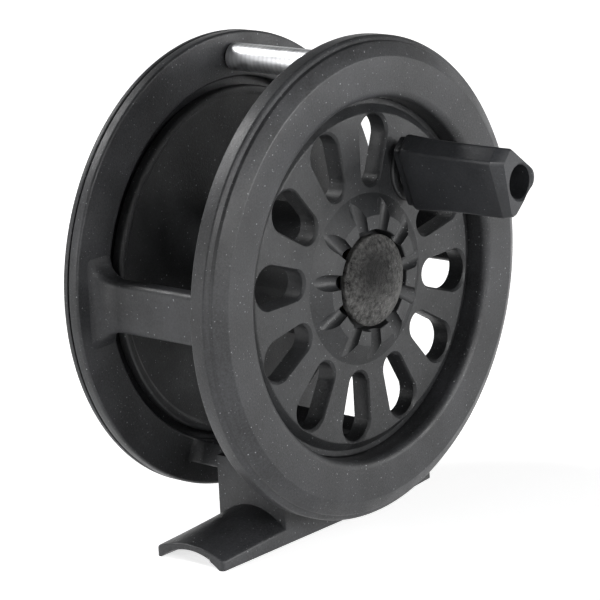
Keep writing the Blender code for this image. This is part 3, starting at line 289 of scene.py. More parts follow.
def flare(y):
    """How much of the root flare a pillar has at y, from 0 along its bar to 1 at the back ring."""
    into = max(0.0, min((CAGE_LENGTH - y) / PILLAR_FLARE, 1.0))
    return 1 - sqrt(1 - (1 - into) ** 2)


def along_y(edge):
    near, far = edge.verts
    return abs(near.co.x - far.co.x) < WELD * MM and abs(near.co.y - far.co.y) > WELD * MM


def level(edge):
    return abs(edge.verts[0].co.z - edge.verts[1].co.z) < WELD * MM


def pillar(name, side):
    inside, outside = sorted((side * (PILLAR_OUTSIDE - PILLAR_THICKNESS), side * PILLAR_OUTSIDE))
    low = (inside, -RING_BITE, PILLAR_BOTTOM)
    piece = block(name, low, (outside, CAGE_LENGTH + RING_BITE, PILLAR_TOP))
    stations = [PILLAR_FLARE * (1 - cos(pi / 2 * i / 9)) for i in range(10)]
    sliced([place(0, CAGE_LENGTH - y, 0) for y in stations], (0, 1, 0))
    pick(piece, "EDGE", lambda edge: along_y(edge) and level(edge))
    bpy.ops.mesh.bevel(offset=PILLAR_EDGE_ROUND * MM, segments=5, affect="EDGES")
    mesh = bmesh.from_edit_mesh(piece.data)
    middle = place(side * (PILLAR_OUTSIDE - PILLAR_THICKNESS / 2), 0, (PILLAR_TOP + PILLAR_BOTTOM) / 2)
    for vertex in mesh.verts:
        share = flare(vertex.co.y / MM - RING_REAR)
        vertex.co.z += (PILLAR_RISE if vertex.co.z > middle.z else -PILLAR_DROP) * share * MM
        if side * vertex.co.x > side * middle.x:
            vertex.co.x += side * PILLAR_SPREAD * share * MM
    bmesh.update_edit_mesh(piece.data)
    closed_up()
    smoothed(piece)
    dressed(piece, cage_black, "cage")


pillar("pillar_left", -1)
pillar("pillar_right", 1)

# Bridge: the curved wall of the moulding that closes the cage at the bottom and carries the foot.
# Its two ends run out into the back ring in small fillets.
BRIDGE_INSIDE = 31.2
BRIDGE_OUTSIDE = 35.2
BRIDGE_HALF_ANGLE = radians(23)
BRIDGE_STEPS = 40
BRIDGE_SPREAD = radians(2.6)
BRIDGE_EDGE_ROUND = 0.4
bridge_corners = [
    (BRIDGE_INSIDE, -RING_BITE),
    (BRIDGE_INSIDE, CAGE_LENGTH + RING_BITE),
    (BRIDGE_OUTSIDE, CAGE_LENGTH + RING_BITE),
    (BRIDGE_OUTSIDE, -RING_BITE),
    (BRIDGE_INSIDE, -RING_BITE),
]
bridge_start = -pi / 2 - BRIDGE_HALF_ANGLE
bridge = outline_drawn(
    "bridge", [place(r * cos(bridge_start), y, r * sin(bridge_start)) for r, y in bridge_corners]
)
bpy.ops.mesh.select_all(action="SELECT")
bpy.ops.mesh.spin(steps=BRIDGE_STEPS, angle=2 * BRIDGE_HALF_ANGLE, center=place(0, 0, 0), axis=(0, 1, 0))
bpy.ops.mesh.select_all(action="SELECT")
bpy.ops.mesh.remove_doubles(threshold=WELD * MM)
bpy.ops.mesh.select_mode(type="EDGE")
bpy.ops.mesh.select_all(action="DESELECT")
bpy.ops.mesh.select_non_manifold()
bpy.ops.mesh.fill_holes(sides=0)
bpy.ops.mesh.select_all(action="SELECT")
bpy.ops.mesh.normals_make_consistent(inside=False)
bridge_stations = [PILLAR_FLARE / 2 * (1 - cos(pi / 2 * i / 6)) for i in range(7)]
sliced([place(0, CAGE_LENGTH - y, 0) for y in bridge_stations], (0, 1, 0))
pick(bridge, "EDGE", lambda edge: along_y(edge) and edge.calc_face_angle(0) > radians(60))
bpy.ops.mesh.bevel(offset=BRIDGE_EDGE_ROUND * MM, segments=4, affect="EDGES")
bridge_mesh = bmesh.from_edit_mesh(bridge.data)
for vertex in bridge_mesh.verts:
    arm = vertex.co - place(0, 0, 0)
    lean = atan2(arm.x, -arm.z)
    share = flare(CAGE_LENGTH - 2 * (CAGE_LENGTH - arm.y / MM))
    if abs(lean) > BRIDGE_HALF_ANGLE - radians(1.5):
        turn = BRIDGE_SPREAD * share * (-1 if lean > 0 else 1)
        vertex.co = place(0, 0, 0) + Matrix.Rotation(turn, 3, "Y") @ arm
bmesh.update_edit_mesh(bridge.data)
closed_up()
smoothed(bridge)
dressed(bridge, cage_black, "cage")

# Foot and pedestal: the end of the same moulding that the rod's reel seat holds.
# The foot is arched on top, hollow below to suit the round seat, and thin at both tips.
# Its right end is shorter and narrower, and the pedestal's faces are flush with its sides.
FOOT_BOTTOM = -43.0
FOOT_LEFT, FOOT_RIGHT = 30.2, 26.5
FOOT_TAPER = 1.6
FOOT_FRONT = 4.9
FOOT_WIDTH = 14.6
FOOT_CORNER = 0.6
PEDESTAL_HALF = 14.5
ROOT_CROWN, ROOT_EDGE = 5.6, 2.5
TIP_CROWN, TIP_EDGE = 3.2, 1.7
SADDLE_RADIUS = 10.5
RAIL_FLAT = 0.9
FOOT_EDGE_ROUND = 0.35
FOOT_STRIPS = 24
LEFT_STATIONS = (-25, -20, 1 - PEDESTAL_HALF, -PEDESTAL_HALF)
RIGHT_STATIONS = (PEDESTAL_HALF - 1, PEDESTAL_HALF, 20, 24)
FOOT_STATIONS = (*LEFT_STATIONS, 0, *RIGHT_STATIONS)


def foot_share(x):
    """How far x lies towards the tip, from 0 at the pedestal's end to 1."""
    length = FOOT_LEFT if x < 0 else FOOT_RIGHT
    return max(0.0, (abs(x) - PEDESTAL_HALF) / (length - PEDESTAL_HALF))


def foot_top(x, across):
    """Height of the foot's top at x, where across runs from -1 to 1 over its width."""
    crown = ROOT_CROWN + (TIP_CROWN - ROOT_CROWN) * foot_share(x)
    edge = ROOT_EDGE + (TIP_EDGE - ROOT_EDGE) * foot_share(x)
    return edge + (crown - edge) * (1 - across**2)


def foot_hollow(half, across):
    """Height of the saddle under a foot of this half width."""
    flat = half - RAIL_FLAT
    reach = min(abs(across) * half, flat)
    return sqrt(SADDLE_RADIUS**2 - reach**2) - sqrt(SADDLE_RADIUS**2 - flat**2)


foot_back = FOOT_FRONT + FOOT_WIDTH
foot_middle = FOOT_FRONT + FOOT_WIDTH / 2
foot = block("foot", (-FOOT_LEFT, FOOT_FRONT, FOOT_BOTTOM), (FOOT_RIGHT, foot_back, FOOT_BOTTOM + 1))
pick(foot, "EDGE", lambda edge: abs(edge.verts[0].co.z - edge.verts[1].co.z) > WELD * MM)
bpy.ops.mesh.bevel(offset=FOOT_CORNER * MM, segments=6, affect="EDGES")
foot_strips = [place(0, FOOT_FRONT + FOOT_WIDTH * i / FOOT_STRIPS, 0) for i in range(1, FOOT_STRIPS)]
sliced(foot_strips, (0, 1, 0))
sliced([place(0, FOOT_FRONT + y, 0) for y in (RAIL_FLAT, FOOT_WIDTH - RAIL_FLAT)], (0, 1, 0))
sliced([place(x, 0, 0) for x in FOOT_STATIONS], (1, 0, 0))
foot_mesh = bmesh.from_edit_mesh(foot.data)
for vertex in foot_mesh.verts:
    x = vertex.co.x / MM
    across = (vertex.co.y / MM - RING_REAR - foot_middle) / (FOOT_WIDTH / 2)
    half = FOOT_WIDTH / 2 - (FOOT_TAPER * foot_share(x) if x > 0 else 0)
    upper = vertex.co.z > 0.5 * MM
    vertex.co.y = place(0, foot_middle + across * half, 0).y
    vertex.co.z = (foot_top(x, across) if upper else foot_hollow(half, across)) * MM
bmesh.update_edit_mesh(foot.data)
pick(
    foot,
    "EDGE",
    lambda edge: edge.calc_face_angle(0) > radians(50)
    and min(v.co.z for v in edge.verts) > 1.2 * MM
    and max(abs(v.co.x) for v in edge.verts) > PEDESTAL_HALF * MM,
)
bpy.ops.mesh.bevel(offset=FOOT_EDGE_ROUND * MM, segments=3, affect="EDGES")
closed_up()
smoothed(foot)
dressed(foot, cage_black, "cage")

FLUSH = 0.01
PEDESTAL_CORNER = 0.15
PEDESTAL_SEAT = 2.3
BRIDGE_OVERLAP = 0.2
pedestal = block(
    "pedestal",
    (-PEDESTAL_HALF, FOOT_FRONT - FLUSH, FOOT_BOTTOM + PEDESTAL_SEAT),
    (PEDESTAL_HALF, foot_back + FLUSH, -BRIDGE_INSIDE - BRIDGE_OVERLAP),
)
pick(pedestal, "EDGE", lambda edge: abs(edge.verts[0].co.z - edge.verts[1].co.z) > WELD * MM)
bpy.ops.mesh.bevel(offset=PEDESTAL_CORNER * MM, segments=3, affect="EDGES")
pick(pedestal, "FACE", lambda face: face.normal.z > 0.9)
bpy.ops.mesh.delete(type="FACE")
sliced([place(x, 0, 0) for x in range(-14, 15)], (1, 0, 0))
pedestal_mesh = bmesh.from_edit_mesh(pedestal.data)
for vertex in pedestal_mesh.verts:
    if vertex.co.z > (AXIS_HEIGHT - 35) * MM:
        reach = (BRIDGE_INSIDE + BRIDGE_OUTSIDE) / 2
        vertex.co.z = (AXIS_HEIGHT - sqrt(reach**2 - (vertex.co.x / MM) ** 2)) * MM
bmesh.update_edit_mesh(pedestal.data)
pick(pedestal, "EDGE", lambda edge: edge.is_boundary)
bpy.ops.mesh.edge_face_add()
closed_up()
smoothed(pedestal)
dressed(pedestal, cage_black, "cage")

# Line guard post: a bright steel bar across the top of the cage that the line runs under.
# It is turned, so fine tool rings run round it, and its ends are chamfered.
POST_X, POST_Z = 1.389, 34.572
POST_SEGMENTS = 64
POST_CORNERS = [
    (0.0, -2.4, 0),
    (1.5, -2.4, 0),
    (1.5, 0.3, 0),
    (2.35, 0.3, 0.35),
    (2.35, 25.2, 0.45),
    (1.3, 25.2, 0),
    (1.0, 24.8, 0),
    (1.0, 18.2, 0),
    (0.0, 18.2, 0),
]
STEEL_CLOUD_SCALE = 300
STEEL_RING_SHADE = 0.88
STEEL_RING_WAVER = 2.2
STEEL_SMOOTH, STEEL_ROUGH = 0.32, 0.44


def turned_steel(name, colour, ring_scale, ring_depth):
    """Bright steel with tool rings that run round the Y axis."""
    material, tree, shader, coordinates = new_material(name)
    cloud = noise(tree, coordinates, STEEL_CLOUD_SCALE, 3)
    bands = {"Vector": coordinates, "Scale": ring_scale, "Distortion": STEEL_RING_WAVER}
    bands |= {"Detail": 2, "Detail Scale": 2.0}
    rings = node(tree, "ShaderNodeTexWave", bands, bands_direction="Y").outputs["Fac"]
    darker = [part * STEEL_RING_SHADE for part in colour]
    tone = blended(tree, ranged(tree, rings, 0.1, 0.8, 0.0, 1.0), (*darker, 1), (*colour, 1))
    tree.links.new(tone, shader.inputs["Base Color"])
    shader.inputs["Metallic"].default_value = 1
    tree.links.new(ranged(tree, cloud, 0.3, 0.7, STEEL_SMOOTH, STEEL_ROUGH), shader.inputs["Roughness"])
    bump = node(tree, "ShaderNodeBump", {"Height": rings, "Strength": 0.6, "Distance": ring_depth * MM})
    tree.links.new(bump.outputs["Normal"], shader.inputs["Normal"])
    return material


bright_steel = turned_steel("bright_steel", (0.95, 0.96, 0.98), 330, 0.004)
post = turned("guard_post", POST_CORNERS, POST_SEGMENTS, POST_X, POST_Z)
dressed(post, bright_steel, "cage")
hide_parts("line_guard_post")

# Back cover: a thin moulded disc with a shallow round housing over the click parts.
# Holes let its five screws through, and a sunk seat in the middle takes the spindle screw's head.
SPINDLE_SCREW_HOLE = 1.75
COVER_CORNERS = [
    (SPINDLE_SCREW_HOLE, 29.2, 0),
    (7.0, 29.2, 0),
    (7.0, 30.4, 0),
    (23.0, 30.4, 0.4),
    (23.0, 27.7, 0),
    (38.7, 27.7, 0.15),
    (38.7, 28.7, 0.45),
    (25.2, 28.7, 0.6),
    (24.6, 31.8, 1.1),
    (3.3, 31.8, 0.15),
    (3.3, 30.3, 0),
    (SPINDLE_SCREW_HOLE, 30.3, 0),
]
SCREW_PLACES = {
    "cover_screw_left": (-32.4, -0.4),
    "cover_screw_right": (32.4, -0.4),
    "cover_screw_bottom_left": (-9.707, -31.749),
    "cover_screw_bottom_right": (9.707, -31.749),
    "post_screw": (POST_X, POST_Z),
}


def carved(piece, tool, operation="DIFFERENCE"):
    """Boolean with a shape that is used up."""
    step = piece.modifiers.new(tool.name, "BOOLEAN")
    step.operation = operation
    step.solver = "EXACT"
    step.object = tool
    bpy.ops.object.select_all(action="DESELECT")
    bpy.context.view_layer.objects.active = piece
    bpy.ops.object.modifier_apply(modifier=step.name)
    bpy.data.objects.remove(tool)


def joined(pieces):
    """One mesh from several shapes that lie clear of each other."""
    bpy.ops.object.select_all(action="DESELECT")
    for piece in pieces:
        piece.select_set(True)
    bpy.context.view_layer.objects.active = pieces[0]
    bpy.ops.object.join()
    return pieces[0]


cover = turned("cover_disc", COVER_CORNERS)
recess_corners = [
    (0.0, 27.0, 0),
    (1.0, 27.0, 0),
    (1.0, 28.4, 0),
    (1.6, 28.9, 0),
    (1.6, 30.0, 0),
    (0.0, 30.0, 0),
]
recesses = [turned("screw_recess", recess_corners, 32, x, z) for x, z in SCREW_PLACES.values()]
carved(cover, joined(recesses))
smoothed(cover)
dressed(cover, cage_black, "cage")
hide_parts("back_cover")

# Cover screws: small slotted screws of bright steel, one pattern in five places, and a larger
# one of the same kind at the middle of the cover that draws up the spindle.
plain_steel = turned_steel("plain_steel", (0.62, 0.62, 0.64), 1500, 0.01)
SLOT_HALF = 0.2
SLOT_BEYOND = 40
PAN_SLOT_FLOOR = 29.5
SPINDLE_SLOT_FLOOR = 31.2
PAN_CORNERS = [
    (0.0, 22.0, 0),
    (0.7, 22.0, 0.1),
    (0.7, 29.0, 0),
    (1.4, 29.0, 0.1),
    (1.4, 29.6, 0.3),
    (0.7, 29.9, 0.3),
    (0.0, 29.9, 0),
]


def screw(name, corners, x, z, slot_floor):
    piece = turned(name, corners, 40, x, z)
    reach = max(radius for radius, y, fillet in corners) + 1
    low = (x - reach, slot_floor, z - SLOT_HALF)
    slot = block(f"{name}_slot", low, (x + reach, SLOT_BEYOND, z + SLOT_HALF))
    bpy.ops.object.mode_set(mode="OBJECT")
    carved(piece, slot)
    smoothed(piece)
    dressed(piece, plain_steel, "cage")
    return piece


for screw_name, (screw_x, screw_z) in SCREW_PLACES.items():
    made = screw(f"{screw_name}_slotted", PAN_CORNERS, screw_x, screw_z, PAN_SLOT_FLOOR)
    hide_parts(screw_name)

SPINDLE_SCREW_CORNERS = [
    (0.0, 21.9, 0),
    (1.5, 21.9, 0.2),
    (1.5, 30.6, 0),
    (3.0, 30.6, 0.1),
    (3.0, 31.5, 0.3),
    (1.5, 31.8, 0.5),
    (0.0, 31.8, 0),
]
spindle_screw = screw("spindle_screw_slotted", SPINDLE_SCREW_CORNERS, 0, 0, SPINDLE_SLOT_FLOOR)
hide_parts("spindle_screw")

# Spool: one black moulding with the windowed face, the ribbed arbor and the grooved hub.
# Eleven teardrop windows lighten the face, and the handle's round boss takes the twelfth place.
SPOOL_CORNERS = [
    (4.9, 24.7, 0),
    (4.9, -0.2, 0),
    (6.1, -0.2, 0),
    (6.1, -1.0, 0),
    (8.4, -1.0, 0),
    (8.4, -4.4, 0.25),
    (10.8, -4.4, 0.15),
    (14.2, -2.4, 0.3),
    (27.26, -2.4, 0.5),
    (28.65, -1.0, 0.4),
    (29.72, -1.0, 0.2),
    (29.72, 1.0, 0.2),
    (10.8, 1.0, 0.6),
    (10.8, 24.7, 0),
]
ARBOR_RADIUS = 10.8
WINDOW_PLACES = 12
FIRST_WINDOW = radians(81.04)
HANDLE_PLACE = 11
WINDOW_INNER, WINDOW_INNER_RADIUS = 18.0, 2.5
WINDOW_OUTER, WINDOW_OUTER_RADIUS = 23.61, 3.49
RIB_HEIGHT, RIB_WIDTH, RIB_LENGTH = 1.3, 1.0, 4.2
HUB_NOTCHES = 11
FIRST_NOTCH = radians(72)
NOTCH_INSIDE, NOTCH_INSIDE_RADIUS = 7.0, 1.1
NOTCH_OUTSIDE, NOTCH_OUTSIDE_RADIUS = 14.3, 1.6
NOTCH_AXIS = -4.3
BOSS_CORNERS = [(0.0, -2.0, 0), (5.4, -2.0, 0), (5.4, -3.0, 0.35), (0.0, -3.0, 0)]
HANDLE_CIRCLE = 20.6
handle_angle = FIRST_WINDOW + HANDLE_PLACE * 2 * pi / WINDOW_PLACES
HANDLE_X, HANDLE_Z = HANDLE_CIRCLE * cos(handle_angle), HANDLE_CIRCLE * sin(handle_angle)


def swung(piece, angle):
    """Turns a shape drawn along +X round the spool axis to its angle."""
    to_axis = Matrix.Translation(place(0, 0, 0))
    piece.data.transform(to_axis @ Matrix.Rotation(-angle, 4, "Y") @ to_axis.inverted())
    return piece


def window_tool(angle):
    """Teardrop cutter with a slightly flared mouth at the front."""
    bpy.ops.object.select_all(action="DESELECT")
    bpy.ops.mesh.primitive_circle_add(
        vertices=40,
        radius=WINDOW_OUTER_RADIUS * MM,
        fill_type="NGON",
        location=place(WINDOW_OUTER, 3, 0),
        rotation=(pi / 2, 0, 0),
    )
    tool = new_piece("window_tool")
    bpy.ops.object.mode_set(mode="EDIT")
    pick(tool, "VERT", lambda vertex: vertex.co.x < (WINDOW_OUTER - WELD) * MM)
    ratio = WINDOW_INNER_RADIUS / WINDOW_OUTER_RADIUS
    bpy.ops.transform.resize(value=(ratio, ratio, ratio), center_override=place(WINDOW_OUTER, 3, 0))
    bpy.ops.transform.translate(value=((WINDOW_INNER - WINDOW_OUTER) * MM, 0, 0))
    middle = place((WINDOW_INNER + WINDOW_OUTER) / 2, 3, 0)
    bpy.ops.mesh.select_all(action="SELECT")
    for travel, wider in ((-4.95, 1.0), (-0.25, 1.04), (-0.25, 1.06), (-1.5, 1.0)):
        bpy.ops.mesh.extrude_region_move(TRANSFORM_OT_translate={"value": (0, travel * MM, 0)})
        bpy.ops.transform.resize(value=(wider, 1, wider), center_override=middle)
    closed_up()
    return swung(tool, angle)


def notch_tool(angle):
    """Round bar that widens outwards and leaves a round-bottomed groove across the hub."""
    bpy.ops.object.select_all(action="DESELECT")
    bpy.ops.mesh.primitive_cone_add(
        vertices=48,
        radius1=NOTCH_INSIDE_RADIUS * MM,
        radius2=NOTCH_OUTSIDE_RADIUS * MM,
        depth=(NOTCH_OUTSIDE - NOTCH_INSIDE) * MM,
        location=place((NOTCH_INSIDE + NOTCH_OUTSIDE) / 2, NOTCH_AXIS, 0),
        rotation=(0, pi / 2, 0),
    )
    return swung(new_piece("notch_tool"), angle)


def rib_tool(angle):
    """Short rib that stands on the arbor behind the face."""
    low = (ARBOR_RADIUS - 0.6, 0.4, -RIB_WIDTH / 2)
    piece = block("rib_tool", low, (ARBOR_RADIUS + RIB_HEIGHT, 1.0 + RIB_LENGTH, RIB_WIDTH / 2))
    bpy.ops.mesh.bevel(offset=0.15 * MM, segments=2, affect="EDGES")
    bpy.ops.object.mode_set(mode="OBJECT")
    return swung(piece, angle)


spool = turned("spool", SPOOL_CORNERS)
carved(spool, turned("handle_boss_tool", BOSS_CORNERS, 64, HANDLE_X, HANDLE_Z), "UNION")
turn_step = 2 * pi / WINDOW_PLACES
ribs = [rib_tool(FIRST_WINDOW + (i + 0.5) * turn_step) for i in range(WINDOW_PLACES)]
carved(spool, joined(ribs), "UNION")
windows = [window_tool(FIRST_WINDOW + i * turn_step) for i in range(WINDOW_PLACES) if i != HANDLE_PLACE]
carved(spool, joined(windows))
notches = [notch_tool(FIRST_NOTCH + i * 2 * pi / HUB_NOTCHES) for i in range(HUB_NOTCHES)]
carved(spool, joined(notches))
pin_corners = [(0.0, -5.0, 0), (2.0, -5.0, 0), (2.0, -0.4, 0), (0.0, -0.4, 0)]
carved(spool, turned("pin_hole_tool", pin_corners, 40, HANDLE_X, HANDLE_Z))
bpy.ops.object.mode_set(mode="EDIT")
# The carving leaves a small face out of one window's wall, so open edges are filled.
pick(spool, "EDGE", lambda edge: edge.is_boundary)
bpy.ops.mesh.fill_holes(sides=0)
closed_up()
smoothed(spool)
spool_black = moulded_plastic(
    "spool_black",
    dark=(0.009, 0.0095, 0.010),
    pale=(0.028, 0.029, 0.031),
    smooth=0.38,
    rough=0.58,
    grain_size=0.35,
    grain_depth=0.07,
    dust=0.9,
)
dressed(spool, spool_black, "spool")
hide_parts("spool_body")

# Rear flange: the moulded disc that closes the spool at the back, screwed to the arbor with the gear.
# A low round bead stiffens its rim, just inside the back ring.
FLANGE_CORNERS = [
    (6.1, 26.8, 0),
    (6.1, 25.0, 0),
    (28.0, 25.0, 0.3),
    (28.5, 24.6, 0.3),
    (29.6, 24.6, 0.5),
    (29.6, 26.8, 0.6),
]
flange = turned("flange_disc", FLANGE_CORNERS)
dressed(flange, spool_black, "spool")
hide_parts("spool_rear_flange")

# Release button: a low domed cap of grainy black plastic, pressed to let the spool off its spindle.
# Its colour darkens towards a spot a little above and left of the middle, and a finger under the rim moves
# the latch.
BUTTON_CORNERS = [
    (0.0, -6.1, 0),
    (2.2, -6.02, 0),
    (4.4, -5.62, 0),
    (6.2, -5.0, 0.8),
    (7.6, -4.3, 0.35),
    (7.6, -3.3, 0.1),
    (5.2, -3.3, 0.1),
    (5.2, -4.6, 0),
    (0.0, -4.6, 0),
]
button_black = moulded_plastic(
    "button_black",
    dark=(0.005, 0.005, 0.005),
    pale=(0.150, 0.148, 0.144),
    smooth=0.34,
    rough=0.60,
    grain_size=0.7,
    grain_depth=0.5,
    dust=0.9,
)
button_tree = button_black.node_tree
button_body = button_tree.nodes["Principled BSDF"].inputs["Base Color"]
button_spot = button_tree.nodes.new("ShaderNodeTexCoord").outputs["Object"]
DARK_MIDDLE = place(-1.6, -6.0, 2.0)
DARK_CORE, DARK_REACH = 1.5, 6.8
DARK_SHARE = 0.9
DARK_COLOUR = (0.006, 0.006, 0.006, 1)
BUTTON_GLOSS = 0.1
away = node(button_tree, "ShaderNodeVectorMath", {0: button_spot, 1: DARK_MIDDLE}, operation="DISTANCE")
darkened = ranged(button_tree, away.outputs["Value"], DARK_CORE * MM, DARK_REACH * MM, DARK_SHARE, 0.0)
button_colour = blended(button_tree, darkened, button_body.links[0].from_socket, DARK_COLOUR)
button_tree.links.new(button_colour, button_body)
button_tree.nodes["Principled BSDF"].inputs["Specular IOR Level"].default_value = BUTTON_GLOSS
button = turned("button_cap", BUTTON_CORNERS, 96)
finger = block("finger_tool", (6.30, -3.6, -1.2), (7.3, -2.25, 1.2))
bpy.ops.object.mode_set(mode="OBJECT")
carved(button, finger, "UNION")
smoothed(button)
dressed(button, button_black, "button")
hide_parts("release_button")

# Handle: a rounded three-sided grip of smooth black plastic that turns on a steel pin.
# Its free end is bevelled, wider along the ridge, and bored; a chamfered collar ends it at the spool.
GRIP_REAR = -4.0
GRIP_END = -25.0
GRIP_CORNERS = [(-6.35, 4.05, 0.8), (-4.1, 6.45, 0.8), (5.5, 0.6, 2.2), (-2.65, -6.5, 1.1)]
RIDGE_CUT = 1.2
BORE_RADIUS = 2.8
BORE_DEPTH = 12.0
BORE_CHAMFER = 0.4
grip_outline = filleted(GRIP_CORNERS, 10)
grip_points = [place(HANDLE_X + point.x, GRIP_REAR, HANDLE_Z + point.y) for point in grip_outline]
grip = outline_drawn("grip", grip_points + [grip_points[0]])
bpy.ops.mesh.select_all(action="SELECT")
bpy.ops.mesh.remove_doubles(threshold=WELD * MM)
bpy.ops.mesh.select_all(action="SELECT")
bpy.ops.mesh.edge_face_add()
grip_middle = place(HANDLE_X, 0, HANDLE_Z)
GRIP_STEPS = (
    (-0.9, 1.0),
    (-0.3, 1.04),
    (-0.3, 1.035),
    (-0.4, 1.015),
    (-2.0, 0.975),
    (-3.0, 0.97),
    (-5.0, 0.98),
    (-7.5, 1.0),
    (-0.1, 0.995),
    (-1.2, 0.945),
    (-0.3, 0.95),
)
for travel, wider in GRIP_STEPS:
    bpy.ops.mesh.extrude_region_move(TRANSFORM_OT_translate={"value": (0, travel * MM, 0)})
    bpy.ops.transform.resize(value=(wider, 1, wider), center_override=grip_middle)
grip_mesh = bmesh.from_edit_mesh(grip.data)
for vertex in grip_mesh.verts:
    bevelled = vertex.co.y < place(0, GRIP_END + 1, 0).y
    if bevelled and vertex.co.x < grip_middle.x and vertex.co.z > grip_middle.z + 2 * MM:
        vertex.co.x += RIDGE_CUT * MM
bmesh.update_edit_mesh(grip.data)
closed_up()
bore_corners = [
    (0.0, GRIP_END - 2, 0),
    (BORE_RADIUS + BORE_CHAMFER, GRIP_END - 2, 0),
    (BORE_RADIUS + BORE_CHAMFER, GRIP_END, 0),
    (BORE_RADIUS, GRIP_END + BORE_CHAMFER, 0),
    (BORE_RADIUS, GRIP_END + BORE_DEPTH, 0),
    (0.0, GRIP_END + BORE_DEPTH, 0),
]
carved(grip, turned("bore_tool", bore_corners, 64, HANDLE_X, HANDLE_Z))
pin_bore = [(0.0, -14.0, 0), (2.1, -14.0, 0), (2.1, -2.0, 0), (0.0, -2.0, 0)]
carved(grip, turned("pin_bore_tool", pin_bore, 48, HANDLE_X, HANDLE_Z))
smoothed(grip)
grip_black = moulded_plastic(
    "grip_black",
    dark=(0.023, 0.024, 0.027),
    pale=(0.042, 0.044, 0.048),
    smooth=0.34,
    rough=0.50,
    grain_size=0.35,
    grain_depth=0.03,
    dust=0.3,
)
dressed(grip, grip_black, "handle")
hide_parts("handle_knob")

# Inner parts: the spindle, bushes, latch, springs, click gear, pawl and their screws keep their solids.
# They are turned or stamped steel, bearing bronze and white gear plastic.
spring_steel = turned_steel("spring_steel", (0.42, 0.42, 0.44), 900, 0.005)
bearing_bronze = turned_steel("bearing_bronze", (0.55, 0.36, 0.16), 1200, 0.01)
gear_white = moulded_plastic(
    "gear_white",
    dark=(0.60, 0.59, 0.55),
    pale=(0.70, 0.69, 0.64),
    smooth=0.42,
    rough=0.55,
    grain_size=0.5,
    grain_depth=0.01,
    dust=0.02,
)
INNER_FINISHES = {
    "spindle": bright_steel,
    "pawl_pin": plain_steel,
    "pawl_spring": spring_steel,
    "click_pawl": gear_white,
    "flange_screw_1": plain_steel,
    "flange_screw_2": plain_steel,
    "flange_screw_3": plain_steel,
    "click_gear": gear_white,
    "bush_front": bearing_bronze,
    "bush_rear": bearing_bronze,
    "button_spring": spring_steel,
    "latch_spring": spring_steel,
    "spool_latch": spring_steel,
    "handle_pin": bright_steel,
    "handle_washer": plain_steel,
}
for name, material in INNER_FINISHES.items():
    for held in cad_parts[name].material_slots:
        held.material = material

# Studio: a pale floor, a white surround under a dark ceiling, and soft lamps at the left,
# in front, high in front and behind. In gloss and metal the surround is white near the horizon
# and fades to dark above, and the floor shows as bright as the camera sees it.
FLOOR_SIZE = 3.0
FLOOR_GREY = 0.85
NEAR_FLOOR, FAR_FLOOR = 0.25, 0.8
NEAR_FLOOR_LIGHT, FAR_FLOOR_LIGHT = 0.72, 1.0
bpy.ops.object.select_all(action="DESELECT")
bpy.ops.mesh.primitive_plane_add(size=FLOOR_SIZE, location=(0, 0, 0))
floor = new_piece("floor")
floor_paint = bpy.data.materials.new("floor_paint")
floor_paint.use_nodes = True
floor_tree = floor_paint.node_tree
floor_shader = floor_tree.nodes["Principled BSDF"]
floor_shader.inputs["Base Color"].default_value = (FLOOR_GREY, FLOOR_GREY, FLOOR_GREY, 1)
floor_shader.inputs["Roughness"].default_value = 0.9
floor_shader.inputs["Specular IOR Level"].default_value = 0.1
floor_shader.inputs["Emission Color"].default_value = (1, 1, 1, 1)
floor_path = floor_tree.nodes.new("ShaderNodeLightPath")
floor_seen = floor_path.outputs["Is Camera Ray"]
for ray in ("Is Glossy Ray", "Is Transmission Ray"):
    either = {0: floor_seen, 1: floor_path.outputs[ray]}
    floor_seen = node(floor_tree, "ShaderNodeMath", either, operation="MAXIMUM").outputs["Value"]
floor_spot = floor_tree.nodes.new("ShaderNodeTexCoord").outputs["Object"]
floor_reach = node(floor_tree, "ShaderNodeVectorMath", {0: floor_spot}, operation="LENGTH").outputs["Value"]
floor_level = ranged(floor_tree, floor_reach, NEAR_FLOOR, FAR_FLOOR, NEAR_FLOOR_LIGHT, FAR_FLOOR_LIGHT)
floor_lift = node(floor_tree, "ShaderNodeMath", {0: floor_seen, 1: floor_level}, operation="MULTIPLY")
floor_tree.links.new(floor_lift.outputs["Value"], floor_shader.inputs["Emission Strength"])
floor.data.materials.append(floor_paint)

LOW_SKY, HIGH_SKY = 0.36, 0.02
LOW_MIRRORED, HIGH_MIRRORED = 1.0, 0.05
world = bpy.data.worlds.new("studio")
bpy.context.scene.world = world
world.use_nodes = True
world_tree = world.node_tree
surround = world_tree.nodes["Background"]
surround.inputs["Color"].default_value = (1, 1, 1, 1)
direction = world_tree.nodes.new("ShaderNodeTexCoord").outputs["Generated"]
rise = node(world_tree, "ShaderNodeSeparateXYZ", {"Vector": direction}).outputs["Z"]
sky = ranged(world_tree, rise, 0.05, 0.6, LOW_SKY, HIGH_SKY)
path = world_tree.nodes.new("ShaderNodeLightPath")
seen = node(
    world_tree,
    "ShaderNodeMath",
    {0: path.outputs["Is Camera Ray"], 1: path.outputs["Is Transmission Ray"]},
    operation="MAXIMUM",
).outputs["Value"]
ceiling = ranged(world_tree, rise, 0.1, 0.45, LOW_MIRRORED, HIGH_MIRRORED)
glossy = path.outputs["Is Glossy Ray"]
mirrored = node(world_tree, "ShaderNodeMath", {0: glossy, 1: ceiling}, operation="MULTIPLY")
shown = node(world_tree, "ShaderNodeMath", {0: seen, 1: mirrored.outputs["Value"]}, operation="MAXIMUM")
strength = node(
    world_tree, "ShaderNodeMix", {"Factor": shown.outputs["Value"], "A": sky, "B": 1.0}, data_type="FLOAT"
)
world_tree.links.new(strength.outputs["Result"], surround.inputs["Strength"])


LAMP_AIM = Vector((0, 0, 0.04))


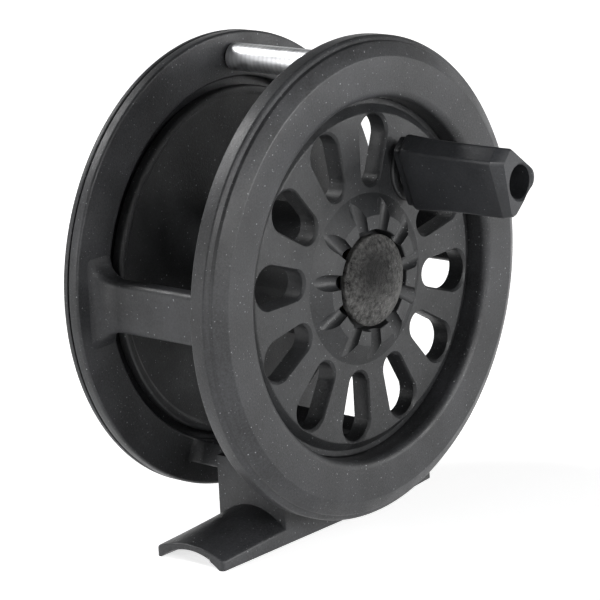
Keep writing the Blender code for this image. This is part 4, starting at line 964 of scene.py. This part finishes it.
def soft_lamp(name, location, size, power):
    """Square lamp turned towards the reel, with its place and size in metres and its power in watts."""
    data = bpy.data.lights.new(name, "AREA")
    data.shape = "SQUARE"
    data.size = size
    data.energy = power
    lamp = bpy.data.objects.new(name, data)
    lamp.location = location
    lamp.rotation_mode = "QUATERNION"
    lamp.rotation_quaternion = (LAMP_AIM - Vector(location)).to_track_quat("-Z", "Y")
    bpy.context.scene.collection.objects.link(lamp)


soft_lamp("lamp_left", (-0.80, 0.25, 0.16), 0.5, 2.8)
soft_lamp("lamp_front", (0.46, -0.84, 0.14), 0.5, 6.5)
soft_lamp("lamp_high", (-0.24, -0.88, 0.32), 0.22, 3.4)
soft_lamp("lamp_behind", (-0.2, 0.6, 0.65), 0.3, 4.2)

# Camera: a long lens at the photograph's angle, above the reel and to the left of its front.
# It leans a little to one side, as the photograph does.
CAMERA_TURN = radians(-49.06)
CAMERA_RISE = radians(14.52)
CAMERA_ROLL = radians(-2.81)
CAMERA_DISTANCE = 482.6
CAMERA_RIGHT, CAMERA_UP = 8.84, 3.76
CAMERA_LENS = 176.48
back = Vector((sin(CAMERA_TURN) * cos(CAMERA_RISE), -cos(CAMERA_TURN) * cos(CAMERA_RISE), sin(CAMERA_RISE)))
level_right = Vector((cos(CAMERA_TURN), sin(CAMERA_TURN), 0))
level_up = back.cross(level_right)
right = cos(CAMERA_ROLL) * level_right + sin(CAMERA_ROLL) * level_up
up = -sin(CAMERA_ROLL) * level_right + cos(CAMERA_ROLL) * level_up
camera_data = bpy.data.cameras.new("camera")
camera_data.lens = CAMERA_LENS
camera_data.sensor_width = 36
camera_data.clip_start = 0.01
camera = bpy.data.objects.new("camera", camera_data)
at = (back * CAMERA_DISTANCE - right * CAMERA_RIGHT - up * CAMERA_UP) * MM + place(0, 0, 0)
camera.matrix_world = Matrix.Translation(at) @ Matrix((right, up, back)).transposed().to_4x4()
bpy.context.scene.collection.objects.link(camera)
bpy.context.scene.camera = camera
bpy.context.scene.view_settings.view_transform = "Standard"
